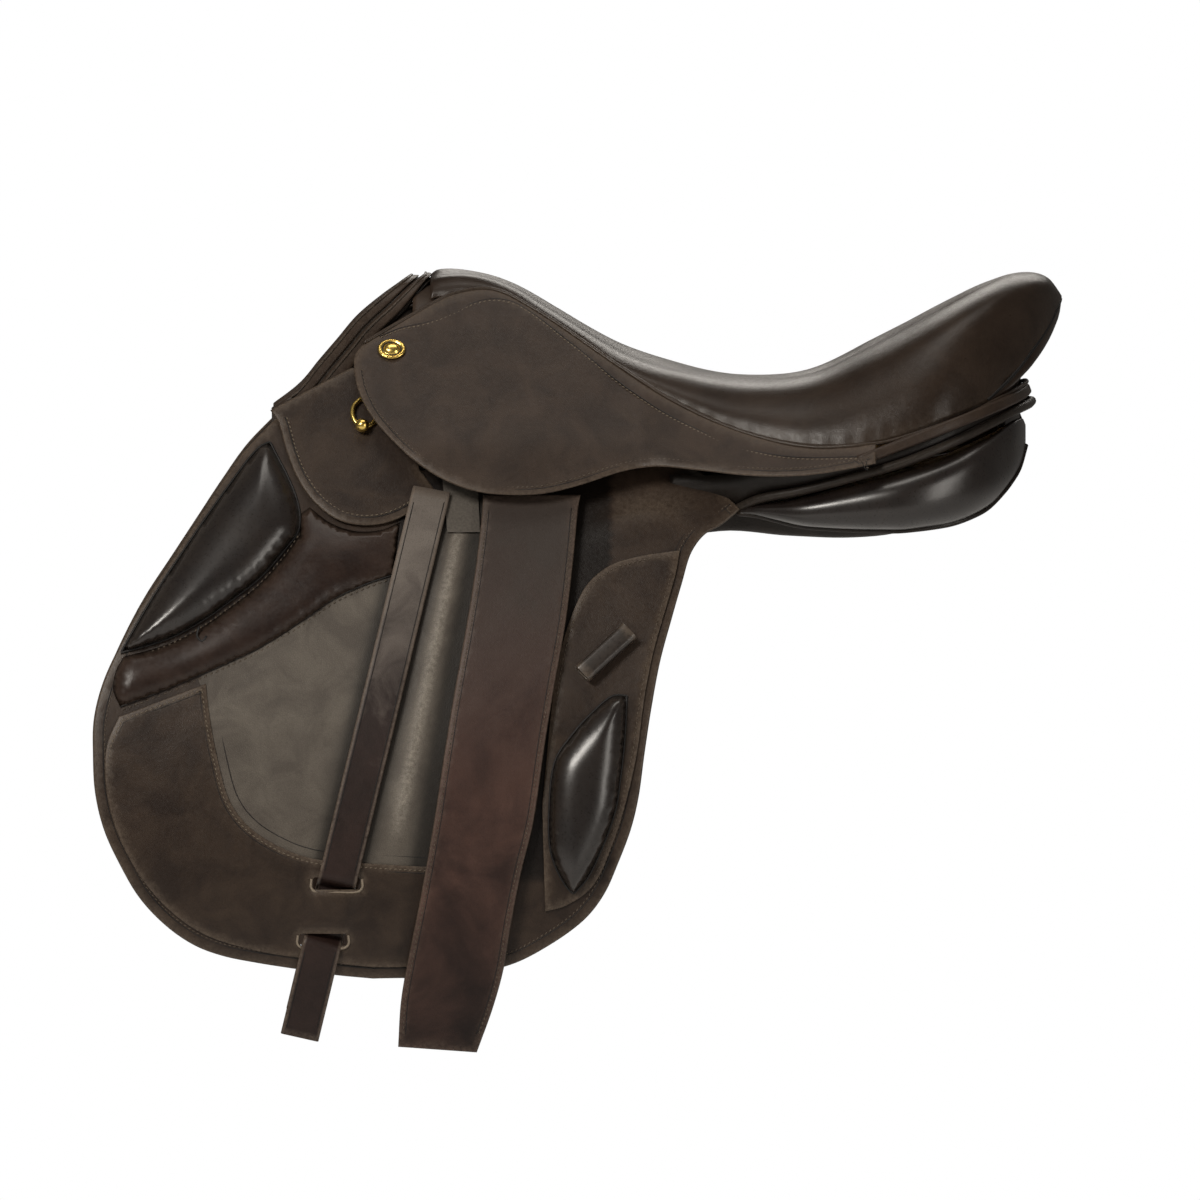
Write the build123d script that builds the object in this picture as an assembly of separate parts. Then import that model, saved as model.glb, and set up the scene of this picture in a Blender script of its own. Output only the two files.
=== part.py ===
"""Jumping saddle for a horse: a single-flap English saddle on a laminated tree.

Frame: millimetres, +Z up, +X towards the cantle, the left (near) side at -Y. The origin is on the
centre plane at the waist, level with the inner bearing edges of the two panel cushions.
Almost every leather part lies in a layer outside one base surface, the arch: a pommel arc, a straight
slope down each side and a long arc round the horse's ribs, the same at every X. A part is its
side-view outline cut out of the layer between two offsets from the arch.
"""

from build123d import *

import math
import os

# ---- Driving dimensions ----
SLOPE = math.radians(30)  # tree points and upper flap, from the vertical
POMMEL_R = 56.0  # radius of the arch over the pommel
RIB_R = 460.0  # radius of the flap round the ribs
RIB_Z = -230.0  # height where the flap hangs vertical
HALF_WIDTH = 185.0  # flap's inner face from the centre plane at that height
ARCH_FOOT_Z = -365.0  # the layers are made down to here
X_LOW, X_HIGH = -400.0, 300.0

FLAP = (0.0, 4.0)  # offsets of each layer from the arch
PATCH = (4.2, 5.6)
UNDER_SKIRT = (4.4, 7.9)
STRAP = (6.0, 9.6)
GUARD = (10.0, 13.6)
KNEE_BLOCK = (4.4, 23.0)
KNEE_ROLL = (4.4, 13.0)
THIGH_BLOCK = (5.9, 22.0)
KEEPER_BASE = 5.9
TREE_HEAD = (-14.0, -3.2)
HEAD_PLATE = (-3.0, -1.2)
GULLET_PLATE = (-16.0, -14.2)
FRONT_PANEL = (-38.0, -0.4)
FACING_THROUGH = (-16.0, 5.2)
FACING_LINING = (-37.0, -15.9)
POMMEL_BINDING = (-8.0, 6.8)
BINDING_FLANGE = (-0.3, 0.9)

SKIRT_TOP_Z = 140.0  # where the skirt plane is SKIRT_TOP_W from the centre plane
SKIRT_TOP_W = 49.0
SKIRT_LEAN = 0.772  # widening of the skirt plane for each mm down
SKIRT_FLARE = 0.22  # and for each mm back from the waist
SKIRT_THICK = 4.0
SKIRT_END_X = 159.0  # the cantle band takes over here
FOLD = ((-193.0, 99.0), (0.0, 34.0))  # the skirt folds along this line
NAIL = (-169.5, 111.0)
NAIL_R = 1.5
NAIL_HEAD_R = 8.5
DEE_PIVOT = (-180.0, 87.0)
DEE_OFFSET = 10.3  # of the ring's plane from the arch
DEE_WIRE = 1.6
DEE_R = 13.5
DEE_STUD_R = 2.3

STRAP_WIDTH = 26.0
KEEPER_AT = (-23.0, -88.0)
KEEPER_LENGTH, KEEPER_WIDTH, KEEPER_HEIGHT = 44.0, 13.0, 9.2
KEEPER_WALL = 1.8
STRAP_HINGE_Z = 18.0  # rear girth strap and guard bend here, at the skirt's edge
TAIL_HINGE_Z = -282.0  # front girth strap's tail bends here, at the flap's lower slot
SLOT_HIGH_Z, SLOT_LOW_Z = -243.0, -281.0
SLOT_WIDTH, SLOT_HEIGHT = 32.0, 8.0
FIT_GAP = 0.3  # between pieces that move past each other
DEE_EYE_R = DEE_STUD_R + FIT_GAP

GULLET_HALF = 31.0  # half width of the channel between the cushions

NORMAL = (0.0, -math.cos(SLOPE), math.sin(SLOPE))  # outwards on the left slope
COVER_THICK = 2.4


# ---- The arch and its layers ----
def arch_half(d):
    """Points of the left half of the arch at offset d: apex, middle and end of the pommel arc,
    foot of the slope, middle and foot of the rib arc, as (w, z) with w from the centre plane."""
    rib_w = HALF_WIDTH - RIB_R
    # both arcs are tangent to the same slope
    pommel_z = (
        rib_w * math.cos(SLOPE) + RIB_Z * math.sin(SLOPE) + RIB_R - POMMEL_R
    ) / math.sin(SLOPE)

    def pommel(angle):
        r = POMMEL_R + d
        return r * math.cos(angle), pommel_z + r * math.sin(angle)

    def rib(angle):
        r = RIB_R + d
        return rib_w + r * math.cos(angle), RIB_Z + r * math.sin(angle)

    foot = -math.asin((RIB_Z - ARCH_FOOT_Z) / RIB_R)
    half_turn = (math.pi / 2 + SLOPE) / 2
    return [
        pommel(math.pi / 2),
        pommel(half_turn),
        pommel(SLOPE),
        rib(SLOPE),
        rib((SLOPE + foot) / 2),
        rib(foot),
    ]


def arch_w(z, d=0.0):
    """Distance of the arch's slope from the centre plane at height z, at offset d."""
    w, foot_z = arch_half(0)[3]
    return w - (z - foot_z) * math.tan(SLOPE) + d / math.cos(SLOPE)


def rib_w(z, d=0.0):
    """The same for a height on the rib arc."""
    r = RIB_R + d
    return HALF_WIDTH - RIB_R + math.sqrt(r * r - (z - RIB_Z) ** 2)


def arch_edges(d, side):
    """Edges of half an arch in the YZ plane, apex to foot. side is -1 for left."""
    p = [(0, side * w, z) for w, z in arch_half(d)]
    return [ThreePointArc(p[0], p[1], p[2]), Line(p[2], p[3]), ThreePointArc(*p[3:])]


def band(offsets, side=-1):
    """The half layer between two offsets, the whole length of the saddle."""
    inner, outer = offsets
    edges = arch_edges(outer, side) + arch_edges(inner, side)
    for end in (0, 5):
        a, b = arch_half(inner)[end], arch_half(outer)[end]
        edges.append(Line((0, side * a[0], a[1]), (0, side * b[0], b[1])))
    face = Face(Wire(edges))
    return Pos(X_LOW, 0, 0) * extrude(face, X_HIGH - X_LOW, dir=(1, 0, 0))


def runs_wire(runs, at):
    """A closed wire from runs of 2-D points: two points are a line, more are a smooth curve."""
    edges = []
    for run in runs:
        points = [at(*p) for p in run]
        edges.append(Line(*points) if len(points) == 2 else Spline(*points))
    return Wire(edges)


def prism(*runs, depth=330.0):
    """A side-view outline, drawn as (x, z), carried from the centre plane out to the left."""
    face = Face(runs_wire(runs, lambda x, z: (x, 0, z)))
    return extrude(face, depth, dir=(0, -1, 0))


def polygon(*points):
    """A straight-sided side-view outline as runs."""
    return [[a, b] for a, b in zip(points, points[1:] + points[:1])]


def layer(offsets, *runs):
    """A side-view outline cut out of a layer of the left side."""
    return prism(*runs) & band(offsets)


def both_halves(half):
    """A part that crosses the centre plane, from its left half."""
    return half + mirror(half, about=Plane.XZ)


def slope_plane(x, z, d):
    """Plane square to the left slope, through the point at height z and offset d from the arch."""
    return Plane(origin=(x, -arch_w(z, d), z), x_dir=(1, 0, 0), z_dir=NORMAL)


def slope_pin(plane, low, high, radius):
    """A round bar square to such a plane, between two distances from it."""
    return plane * Pos(0, 0, (low + high) / 2) * Cylinder(radius, high - low)


# ---- Outlines that parts share ----
FRONT_EDGE = [(-156, 163), (-193, 134), (-220, 102), (-250, 74)]  # facing's front
FLAP_FRONT = [
    (-248, 66),
    (-304, -8),
    (-352, -86),
    (-368, -145),
    (-361, -207),
    (-319, -272),
    (-258, -297),
    (-180, -307),
]
FLAP_REAR = [
    (-180, -307),
    (-90, -299),
    (-27, -253),
    (-3, -190),
    (9, -118),
    (24, -57),
    (40, -14),
    (69, 8),
]
FLAP_TOP = [(69, 8), (40, 32), (-10, 58), (-90, 88), (-170, 106), (-212, 91), (-248, 66)]
SEAM = [
    (-187, 118),
    (-154, 137),
    (-126, 151),
    (-100, 154),
    (-72, 141),
    (-13, 102),
    (24, 79),
    (68, 60),
    (114, 50),
    (SKIRT_END_X, 52),
]
SKIRT_REAR_EDGE = [(SKIRT_END_X, 39), (114, 31), (60, 31), FOLD[1]]
SKIRT_FREE_EDGE = [
    (-193.5, 98.6),
    (-191, 88),
    (-169, 55),
    (-134, 28),
    (-92, 17.5),
    (-52, 20),
    (-10, 33),
]
UNDER_SKIRT_EDGE = [
    (-249, 70),
    (-239, 46),
    (-221, 13),
    (-190, -3.5),
    (-156, 4),
    (-138, 20),
]


def strap_x(z):
    """Centre line of the front girth strap."""
    return -143.0 - (10.0 - z) * 0.242


def guard_x(z):
    """Centre line of the guard and of the rear girth strap under it."""
    return -73.5 - (8.0 - z) * 0.172


def strap_outline(centre, top, bottom, width):
    """A straight strap between two heights, along a centre line."""
    slant = math.cos(math.atan(0.2))
    half = width / 2 / slant
    return polygon(
        (centre(top) - half, top),
        (centre(top) + half, top),
        (centre(bottom) + half, bottom),
        (centre(bottom) - half, bottom),
    )


def slot_prism(z):
    """The opening in the flap that the front girth strap passes through."""
    half = SLOT_WIDTH / 2
    high = SLOT_HEIGHT / 2
    x = strap_x(z)
    return prism(
        *polygon((x - half, z + high), (x + half, z + high), (x + half, z - high), (x - half, z - high))
    )


# ---- Tree ----
def make_tree_head():
    """Laminated arch and points at the front of the tree."""
    runs = polygon((-132, 170), (-98, 170), (-150, 60), (-172, -6), (-200, -6), (-188, 60))
    return both_halves(layer(TREE_HEAD, *runs))


def make_head_plate():
    """Steel arch riveted over the tree head."""
    runs = polygon((-127, 170), (-103, 170), (-136, 92), (-163, 92))
    return both_halves(layer(HEAD_PLATE, *runs))


def make_gullet_plate():
    """Steel arch under the tree head, over the gullet."""
    runs = polygon((-128, 170), (-102, 170), (-130, 100), (-158, 100))
    room = Box(200, 2 * (GULLET_HALF - 1.5), 200)
    return both_halves(layer(GULLET_PLATE, *runs)) & Pos(-120, 0, 120) * room


RAIL_UNDER = [(-90, 113), (-60, 97.5), (-20, 75), (20, 60), (60, 49), (100, 42), (140, 42), (180, 50)]
RAIL_THICK = 9.0
RAIL_IN = [(-90, 26), (-20, 36), (60, 55), (140, 72), (180, 78)]
RAIL_OUT = [(-90, 44), (-20, 60), (60, 88), (140, 108), (180, 114)]


def rail_slab(low, high):
    """Side-view slab that follows the rails, between two heights above their underside."""
    under = [(x, z + low) for x, z in RAIL_UNDER]
    over = [(x, z + high) for x, z in RAIL_UNDER]
    return prism(under, [under[-1], over[-1]], over[::-1], [over[0], under[0]])


def plan_prism(*runs):
    """A plan-view outline, drawn as (x, w), carried up and down on the left side."""
    face = Face(runs_wire(runs, lambda x, w: (x, -w, -60)))
    return extrude(face, 300, dir=(0, 0, 1))


def make_tree_rail():
    """Side bar of the tree."""
    plan = plan_prism(RAIL_IN, [RAIL_IN[-1], RAIL_OUT[-1]], RAIL_OUT[::-1], [RAIL_OUT[0], RAIL_IN[0]])
    return rail_slab(0, RAIL_THICK) & plan


def make_spring_strip():
    """Spring steel strip under the side bar."""
    inner = [(x + 4, w + 6) for x, w in RAIL_IN]
    outer = [(x + 4, w + 16) for x, w in RAIL_IN]
    inner[-1], outer[-1] = (170, 83), (170, 93)
    plan = plan_prism(inner, [inner[-1], outer[-1]], outer[::-1], [outer[0], inner[0]])
    return rail_slab(-1.9, -0.2) & plan


def make_tree_cantle():
    """Dished board at the back of the tree, behind the rails."""
    side = prism(
        [(181, 60), (215, 82), (240, 112), (258, 140)],
        [(258, 140), (266, 134)],
        [(266, 134), (250, 104), (222, 72), (181, 49)],
        [(181, 49), (181, 60)],
    )
    plan = plan_prism(
        [(181, 0), (181, 122)],
        [(181, 122), (212, 104), (234, 74), (249, 36), (254, 0)],
        [(254, 0), (181, 0)],
    )
    return both_halves(side & plan)


WEB_LINE = [(-94, 136), (-54, 115), (-13, 89), (24, 72), (68, 59), (114, 56), (159, 66), (178, 72)]


def web_strip(low, high, w_in, w_out, x_from, x_to):
    """A strip of webbing that follows the strained seat."""
    under = [(x, z + low) for x, z in WEB_LINE]
    over = [(x, z + high) for x, z in WEB_LINE]
    slab = prism(under, [under[-1], over[-1]], over[::-1], [over[0], under[0]])
    length, width = x_to - x_from, w_out - w_in
    return slab & Pos((x_from + x_to) / 2, -(w_in + w_out) / 2, 60) * Box(length, width, 240)


def make_seat_webs():
    """Two strained webs from the head to the cantle."""
    left = web_strip(0, 1.6, 3, 25, -94, 178)
    return Compound(children=[left, mirror(left, about=Plane.XZ)])


def make_cross_web():
    """Web across the rails, over the long webs."""
    return both_halves(web_strip(1.8, 3.2, 0, 56, 40, 90))


# ---- Seat ----
SEAT_STATIONS = [  # x, seam height, shoulder height, centre height, foam depth at the centre
    (-138, 146, 163, 166, 6.2),
    (-105, 153, 163, 165.5, 6.2),
    (-85, 148, 156, 158, 10),
    (-54, 129, 138, 140.5, 18),
    (-13, 102, 115, 117, 24),
    (24, 80, 102, 103.5, 26),
    (68, 60, 95, 93, 27),
    (114, 50, 98, 91, 27),
    (159, 52, 118, 104, 26),
    (203, 67, 141, 123, 24),
    (235, 80, 157, 143, 20),
    (252, 96, 163, 155, 14),
    (266, 113, 164, 160, 8),
    (277, 128, 160, 158.5, 6),
    (283, 139, 153, 152.5, 4),
]
REAR_HALF_WIDTHS = {159: 149, 203: 144, 235: 118, 252: 94, 266: 70, 277: 44, 283: 24}
SEAT_SHAPE = [  # share of the half width, share of the shoulder height, outward slope there
    (1.0, 0.0, (1.0, 0.0)),
    (0.93, 0.45, (0.9, 0.45)),
    (0.75, 0.85, (0.5, 0.87)),
    (0.42, 1.0, (0.15, 1.0)),
]


def skirt_inner_w(z, x):
    """Distance of the skirt's inner face from the centre plane."""
    return SKIRT_TOP_W + SKIRT_LEAN * (SKIRT_TOP_Z - z) + SKIRT_FLARE * max(x, 0.0)


def seat_curve(station, inset):
    """Cross-section points of the seat's top, left seam to right seam, moved in by inset."""
    x, seam, shoulder, centre, _ = station
    half = REAR_HALF_WIDTHS.get(x, skirt_inner_w(seam, x) - 1.0)
    left = []
    for share, rise, (out, up) in SEAT_SHAPE:
        left.append((half * share - inset * out, seam + (shoulder - seam) * rise - inset * up))
    points = [(x, -w, z) for w, z in left] + [(x, 0, centre - inset)]
    return points + [(x, w, z) for w, z in reversed(left)]


def make_seat_cover():
    """Seat leather, from seam to seam."""
    sections = []
    for station in SEAT_STATIONS:
        top = seat_curve(station, 0)
        under = seat_curve(station, COVER_THICK)
        edges = [Spline(*top), Line(top[-1], under[-1]), Spline(*under), Line(under[0], top[0])]
        sections.append(Face(Wire(edges)))
    return Solid.make_loft([s.outer_wire() for s in sections])


def make_seat_foam():
    """Foam seat between the webs and the leather."""
    wires = []
    for station in SEAT_STATIONS:
        x, seam, _, centre, depth = station
        top = seat_curve(station, COVER_THICK + 0.5)
        half = top[-1][1]
        low = centre - depth
        side_z = top[0][2]
        under = [(x, y * half, side_z + (low - side_z) * (1 - y * y)) for y in (-1, -0.6, 0, 0.6, 1)]
        wires.append(Wire([Spline(*top), Spline(*under)]))
    front = Pos(33, 0, 80) * Box(416, 400, 300)
    return Solid.make_loft(wires) & front - make_tree_cantle()


def skirt_slab():
    """The slab that both parts of the left skirt are cut from: flat, then flared behind the waist."""
    rise = math.hypot(1, SKIRT_LEAN)
    top, foot = 175.0, 5.0

    def section(x):
        thick = SKIRT_THICK * rise
        corners = [
            (x, -skirt_inner_w(top, x), top),
            (x, -skirt_inner_w(foot, x), foot),
            (x, -skirt_inner_w(foot, x) - thick, foot),
            (x, -skirt_inner_w(top, x) - thick, top),
        ]
        return Wire(Polyline(*corners, close=True).edges())

    front = Solid.make_loft([section(-205), section(0)], ruled=True)
    rear = Solid.make_loft([section(0), section(SKIRT_END_X + 1)], ruled=True)
    return front + rear


def make_skirt_top():
    """The part of the skirt that is sewn to the seat, back to the cantle band."""
    runs = [SEAM, [SEAM[-1], SKIRT_REAR_EDGE[0]], SKIRT_REAR_EDGE, [FOLD[1], FOLD[0]], [FOLD[0], SEAM[0]]]
    return skirt_slab() & prism(*runs) - nail_bar(NAIL_R + 0.05)


def nail_plane():
    """Plane of the skirt's inner face at the nail."""
    x, z = NAIL
    lean = math.atan(SKIRT_LEAN)
    out = (0, -math.cos(lean), math.sin(lean))
    return Plane(origin=(x, -skirt_inner_w(z, x), z), z_dir=out)


def nail_bar(radius):
    """A round bar square to the skirt, from inside it to just past its outer face."""
    low, high = -4.8, SKIRT_THICK + 0.5
    return nail_plane() * Pos(0, 0, (low + high) / 2) * Cylinder(radius, high - low)


def fold_shift(distance):
    """The skirt's fold line moved down in the side view."""
    (x0, z0), (x1, z1) = FOLD
    length = math.hypot(x1 - x0, z1 - z0)
    nx, nz = (z1 - z0) / length, -(x1 - x0) / length
    return (x0 + nx * distance, z0 + nz * distance), (x1 + nx * distance, z1 + nz * distance)


def make_skirt():
    """The free part of the skirt, which lifts to reach the stirrup bar."""
    runs = [SKIRT_FREE_EDGE, [SKIRT_FREE_EDGE[-1], SKIRT_FREE_EDGE[0]]]
    (x0, z0), (x1, z1) = fold_shift(FIT_GAP)
    below = prism(*polygon((x0 - 20, z0 + 6.74), (x1 + 20, z1 - 6.74), (x1 + 20, -30), (x0 - 20, -30)))
    return skirt_slab() & prism(*runs) & below


BAND_TILT = 21.0
BAND_START = (SKIRT_END_X + 3.0, 43.2)
BAND_HEIGHT = 6.0
BAND_OUTER = [(0, 158), (48, 154), (82, 129), (98, 100), (107, 60), (111, 0)]
BAND_INNER = [(0, 152), (46, 148), (77, 125), (92, 97), (101, 58), (105, 0)]


def make_cantle_band():
    """Leather band under the seat seam, round the back of the cantle."""
    tilt = math.radians(BAND_TILT)
    plane = Plane(
        origin=(BAND_START[0], 0, BAND_START[1]),
        x_dir=(math.cos(tilt), 0, math.sin(tilt)),
        z_dir=(-math.sin(tilt), 0, math.cos(tilt)),
    )

    def ring(points):
        return [(u, -w) for u, w in points] + [(u, w) for u, w in reversed(points[:-1])]

    outer, inner = ring(BAND_OUTER), ring(BAND_INNER)
    edges = [Spline(*outer), Line(outer[-1], inner[-1]), Spline(*inner), Line(inner[0], outer[0])]
    return plane * extrude(Face(Wire(edges)), BAND_HEIGHT)


def facing_layer(offsets):
    """Band along the front edge, 8 mm wide, in one layer of the left side."""
    inner = [(x + 8, z - 4) for x, z in FRONT_EDGE]
    runs = [FRONT_EDGE, [FRONT_EDGE[-1], inner[-1]], inner[::-1], [inner[0], FRONT_EDGE[0]]]
    top = polygon((-156, 163), (-148, 159), (-148, 175), (-156, 175))
    return layer(offsets, *runs) + layer(offsets, *top)


def make_front_facing():
    """Front edge of the saddle: across the pommel and down the front of both cushions."""
    channel = Pos(-200, 0, 60) * Box(200, 2 * GULLET_HALF, 260)
    return both_halves(facing_layer(FACING_THROUGH)) + both_halves(facing_layer(FACING_LINING) - channel)


def make_pommel_binding():
    """Second edge behind the facing, where the seat and flaps meet at the pommel."""
    outer = [(x + 8.8, z - 4.4) for x, z in FRONT_EDGE[:-1]] + [(-237, 71)]
    inner = [(-140.6, 158), (-176, 130), (-204, 98), (-227, 74)]
    runs = [outer, [outer[-1], inner[-1]], inner[::-1], [inner[0], outer[0]]]
    top = polygon(outer[0], inner[0], (-140.6, 175), (-147.2, 175))
    both = layer(POMMEL_BINDING, *runs) + layer(POMMEL_BINDING, *top)
    under_seat = polygon((-146, 158), (-143, 175), (-118, 175), (-118, 138), (-148, 112), (-181, 129))
    both = both + layer(BINDING_FLANGE, *under_seat)
    return both_halves(both - facing_layer(FACING_THROUGH))


# ---- Flap and what is sewn to it ----
def dee_hole():
    """Hole for the stud that the dee ring hangs on."""
    return slope_pin(slope_plane(*DEE_PIVOT, DEE_OFFSET), -14, -1, DEE_STUD_R + 0.05)


def make_flap():
    """Single flap, with the slots for the front girth strap and the opening for the stirrup bar."""
    flap = layer(FLAP, FLAP_FRONT, FLAP_REAR, FLAP_TOP)
    bar_room = prism(*box_outline(-149, -133, 33, 60))
    flap = flap - slot_prism(SLOT_HIGH_Z) - slot_prism(SLOT_LOW_Z) - bar_room - dee_hole()
    return flap - make_front_facing() - make_pommel_binding()


def make_knee_patch():
    """Doubled leather along the flap's front and lower edge."""
    outer = [(-350, -131), (-361, -165), (-350, -210), (-313, -265), (-256, -289), (-180, -300), (-104, -293)]
    inner = [(-104, -293), (-110, -240)]
    top = [(-110, -240), (-147, -232), (-223, -227), (-268, -205), (-289, -160), (-294, -109)]
    patch = layer(PATCH, outer, inner, top, [top[-1], outer[0]])
    return patch - slot_prism(SLOT_HIGH_Z) - slot_prism(SLOT_LOW_Z)


def make_calf_patch():
    """Doubled leather behind the guard, under the thigh block and keeper."""
    runs = [
        [(27, -20), (-20, -30), (-44, -58), (-58, -110), (-66, -190)],
        [(-66, -190), (-64, -262)],
        [(-64, -262), (-32, -245), (-10, -190), (3, -118), (17, -60), (27, -20)],
    ]
    return layer(PATCH, *runs)


def make_knee_block():
    """Stuffed block in front of the knee."""
    runs = [
        [(-250, 52), (-236, 22), (-229, -8), (-256, -40), (-300, -68), (-349, -87)],
        [(-349, -87), (-327, -48), (-300, -5), (-270, 37), (-250, 52)],
    ]
    return layer(KNEE_BLOCK, *runs)


def make_knee_roll():
    """Padded roll behind the knee block, across the flap."""
    runs = [
        [(-347, -91), (-300, -71), (-256, -43), (-227, -10)],
        [(-227, -10), (-202, -13), (-171, -38)],
        [(-171, -38), (-222, -70), (-292, -104), (-350, -126)],
        [(-350, -126), (-356, -110), (-347, -91)],
    ]
    return layer(KNEE_ROLL, *runs)


def make_thigh_block():
    """Stuffed block behind the thigh."""
    runs = [
        [(-9, -117), (-30, -128), (-58, -168), (-62, -215), (-45, -250)],
        [(-45, -250), (-27, -222), (-13, -178), (-9, -117)],
    ]
    return layer(THIGH_BLOCK, *runs)


def make_keeper():
    """Leather loop for the end of the stirrup leather, a flat tube laid at 45 degrees."""
    x, z = KEEPER_AT
    middle = KEEPER_BASE + KEEPER_HEIGHT / 2
    sine = (z - RIB_Z) / (RIB_R + middle)
    out = (0, -math.sqrt(1 - sine * sine), sine)
    along = (math.cos(math.pi / 4), math.sin(math.pi / 4) * sine, math.sin(math.pi / 4) * -out[1])
    plane = Plane(origin=(x, -rib_w(z, middle), z), x_dir=along, z_dir=out)
    wall = 2 * KEEPER_WALL
    tube = Box(KEEPER_LENGTH, KEEPER_WIDTH, KEEPER_HEIGHT)
    return plane * (tube - Box(KEEPER_LENGTH + 2, KEEPER_WIDTH - wall, KEEPER_HEIGHT - wall))


def make_under_skirt():
    """Small guard flap in front of the stirrup bar."""
    runs = [
        UNDER_SKIRT_EDGE,
        [(-138, 20), (-149, 34)],
        [(-149, 34), (-151, 103)],
        [(-151, 103), (-170, 106), (-196, 101)],
        [(-196, 101), (-212, 93), (-231, 83), (-249, 70)],
    ]
    under_skirt = layer(UNDER_SKIRT, *runs) - dee_hole()
    return under_skirt - make_front_facing() - make_pommel_binding()


# ---- Girth straps ----
def strap_piece(offsets, centre, top, bottom):
    return layer(offsets, *strap_outline(centre, top, bottom, STRAP_WIDTH))


def make_front_strap():
    """Front girth strap: over the flap, in at the upper slot and out at the lower one."""
    edge = [(x + 0.3, z - 0.4) for x, z in UNDER_SKIRT_EDGE[2:]]
    above = prism(edge, [edge[-1], (-128, 21)], [(-128, 21), (-128, 60)], [(-128, 60), edge[0]])
    outside = strap_piece(STRAP, strap_x, 20.5, SLOT_HIGH_Z - 2) - above
    behind = strap_piece((-4.6, -1.0), strap_x, SLOT_HIGH_Z + 2, SLOT_LOW_Z - 1)
    through = (-4.6, STRAP[1])
    goes_in = strap_piece(through, strap_x, SLOT_HIGH_Z + 2, SLOT_HIGH_Z - 2)
    comes_out = strap_piece(through, strap_x, SLOT_LOW_Z + 3, SLOT_LOW_Z - 1)
    return outside + behind + goes_in + comes_out


def make_front_strap_tail():
    """The end of the front girth strap that hangs free below the lower slot."""
    return strap_piece(STRAP, strap_x, TAIL_HINGE_Z - FIT_GAP, -347)


def make_rear_strap():
    """Rear girth strap, under the guard."""
    return strap_piece(STRAP, guard_x, STRAP_HINGE_Z - FIT_GAP, -338)


def make_guard():
    """Wide guard over the rear girth strap, cut off at a slant behind its end."""
    top = STRAP_HINGE_Z - FIT_GAP
    runs = polygon((-104, top), (-39, top), (-93, -303), (-110, -357.5), (-162, -353.5))
    return layer(GUARD, *runs)


def make_girth_webs():
    """Webbing from the tree to the tops of the girth straps."""
    front = layer((4.4, 5.8), *polygon((-134, 33), (-110, 33), (-108, -8), (-130, -8)))
    rear = layer((4.4, 7.0), *polygon((-92, 72), (-52, 66), (-58, STRAP_HINGE_Z), (-86, STRAP_HINGE_Z)))
    return Compound(children=[front, rear])


# ---- Panel ----
def quad_loft(stations):
    """A body through four-cornered cross-sections: x, then (w, z) corners on the left side."""
    wires = []
    for x, corners in stations:
        points = [(x, -w, z) for w, z in corners]
        wires.append(Wire(Polyline(*points, close=True).edges()))
    return Solid.make_loft(wires)


def slab_corners(inner, outer, thick):
    """Corners of a cushion's cross-section from its middle line and thickness."""
    (w0, z0), (w1, z1) = inner, outer
    length = math.hypot(w1 - w0, z1 - z0)
    nw, nz = -(z1 - z0) / length * thick / 2, (w1 - w0) / length * thick / 2
    return [(w0 + nw, z0 + nz), (w1 + nw, z1 + nz), (w1 - nw, z1 - nz), (w0 - nw, z0 - nz)]


def make_front_panel():
    """Stuffed front part of the cushion, beside the withers."""
    runs = [
        [(-152, 145), (-193, 116), (-225, 84), (-262, 30), (-280, -20)],
        [(-280, -20), (-262, -62), (-200, -78), (-110, -66), (-21, -40)],
        [(-21, -40), (-21, 60)],
        [(-21, 60), (-60, 93), (-92, 109), (-136, 124), (-152, 145)],
    ]
    panel = layer(FRONT_PANEL, *runs) - make_front_facing() - make_pommel_binding()
    pocket = [(-134, 172), (-95, 172), (-147, 60), (-168, -9), (-204, -9), (-191.5, 60)]
    panel = panel - layer((TREE_HEAD[0] - 0.3, 1.0), *polygon(*pocket))
    panel = panel - layer((-3.2, 1.0), *box_outline(-148, -110, 34, 58)) - dee_hole()
    return panel - Pos(-150, 0, 0) * Box(400, 2 * GULLET_HALF, 400)


REAR_PANEL_STATIONS = [  # x, gullet end and outer end of the middle line, thickness
    (-20, (38, 56), (92, -22), 24),
    (20, (37, 44), (98, -8), 26),
    (60, (37, 34), (106, 1), 28),
    (100, (37, 26), (126, 0), 32),
    (140, (37, 20), (132, 2), 36),
    (180, (38, 21), (132, 9), 38),
    (215, (41, 28), (124, 22), 34),
    (243, (50, 40), (106, 38), 26),
    (258, (62, 48), (94, 48), 12),
]
GUSSET_STATIONS = [  # x, inner face w, outer face w at the middle, low and high z
    (76, 126, 132, 3.5, 8),
    (108, 134, 152, -4, 13),
    (142, 137, 162, -6, 21),
    (175, 138, 166, -7, 32),
    (209, 131, 158, -3, 45),
    (238, 113, 134, 10, 58),
    (253, 99, 110, 27, 65),
]
WELT_LINE = [  # x, w and z of the welt's centre
    (80, 130, 14),
    (108, 143, 20),
    (142, 152, 29),
    (175, 154, 38.5),
    (209, 146, 52),
    (238, 121, 65.5),
    (254, 89, 73),
    (263, 45, 76),
    (266, 0, 77),
]
WELT_R = 3.4


def make_rear_panel():
    """Stuffed rear part of the cushion, under the seat."""
    return quad_loft([(x, slab_corners(a, b, t)) for x, a, b, t in REAR_PANEL_STATIONS])


def make_rear_gusset():
    """Deep gusset along the outside of the rear cushion."""
    stations = []
    for x, inner, outer, low, high in GUSSET_STATIONS:
        rise = (high - low) * 0.22
        stations.append((x, [(inner, low), (outer, low + rise), (outer, high - rise), (inner, high)]))
    return quad_loft(stations) - make_rear_panel()


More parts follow.
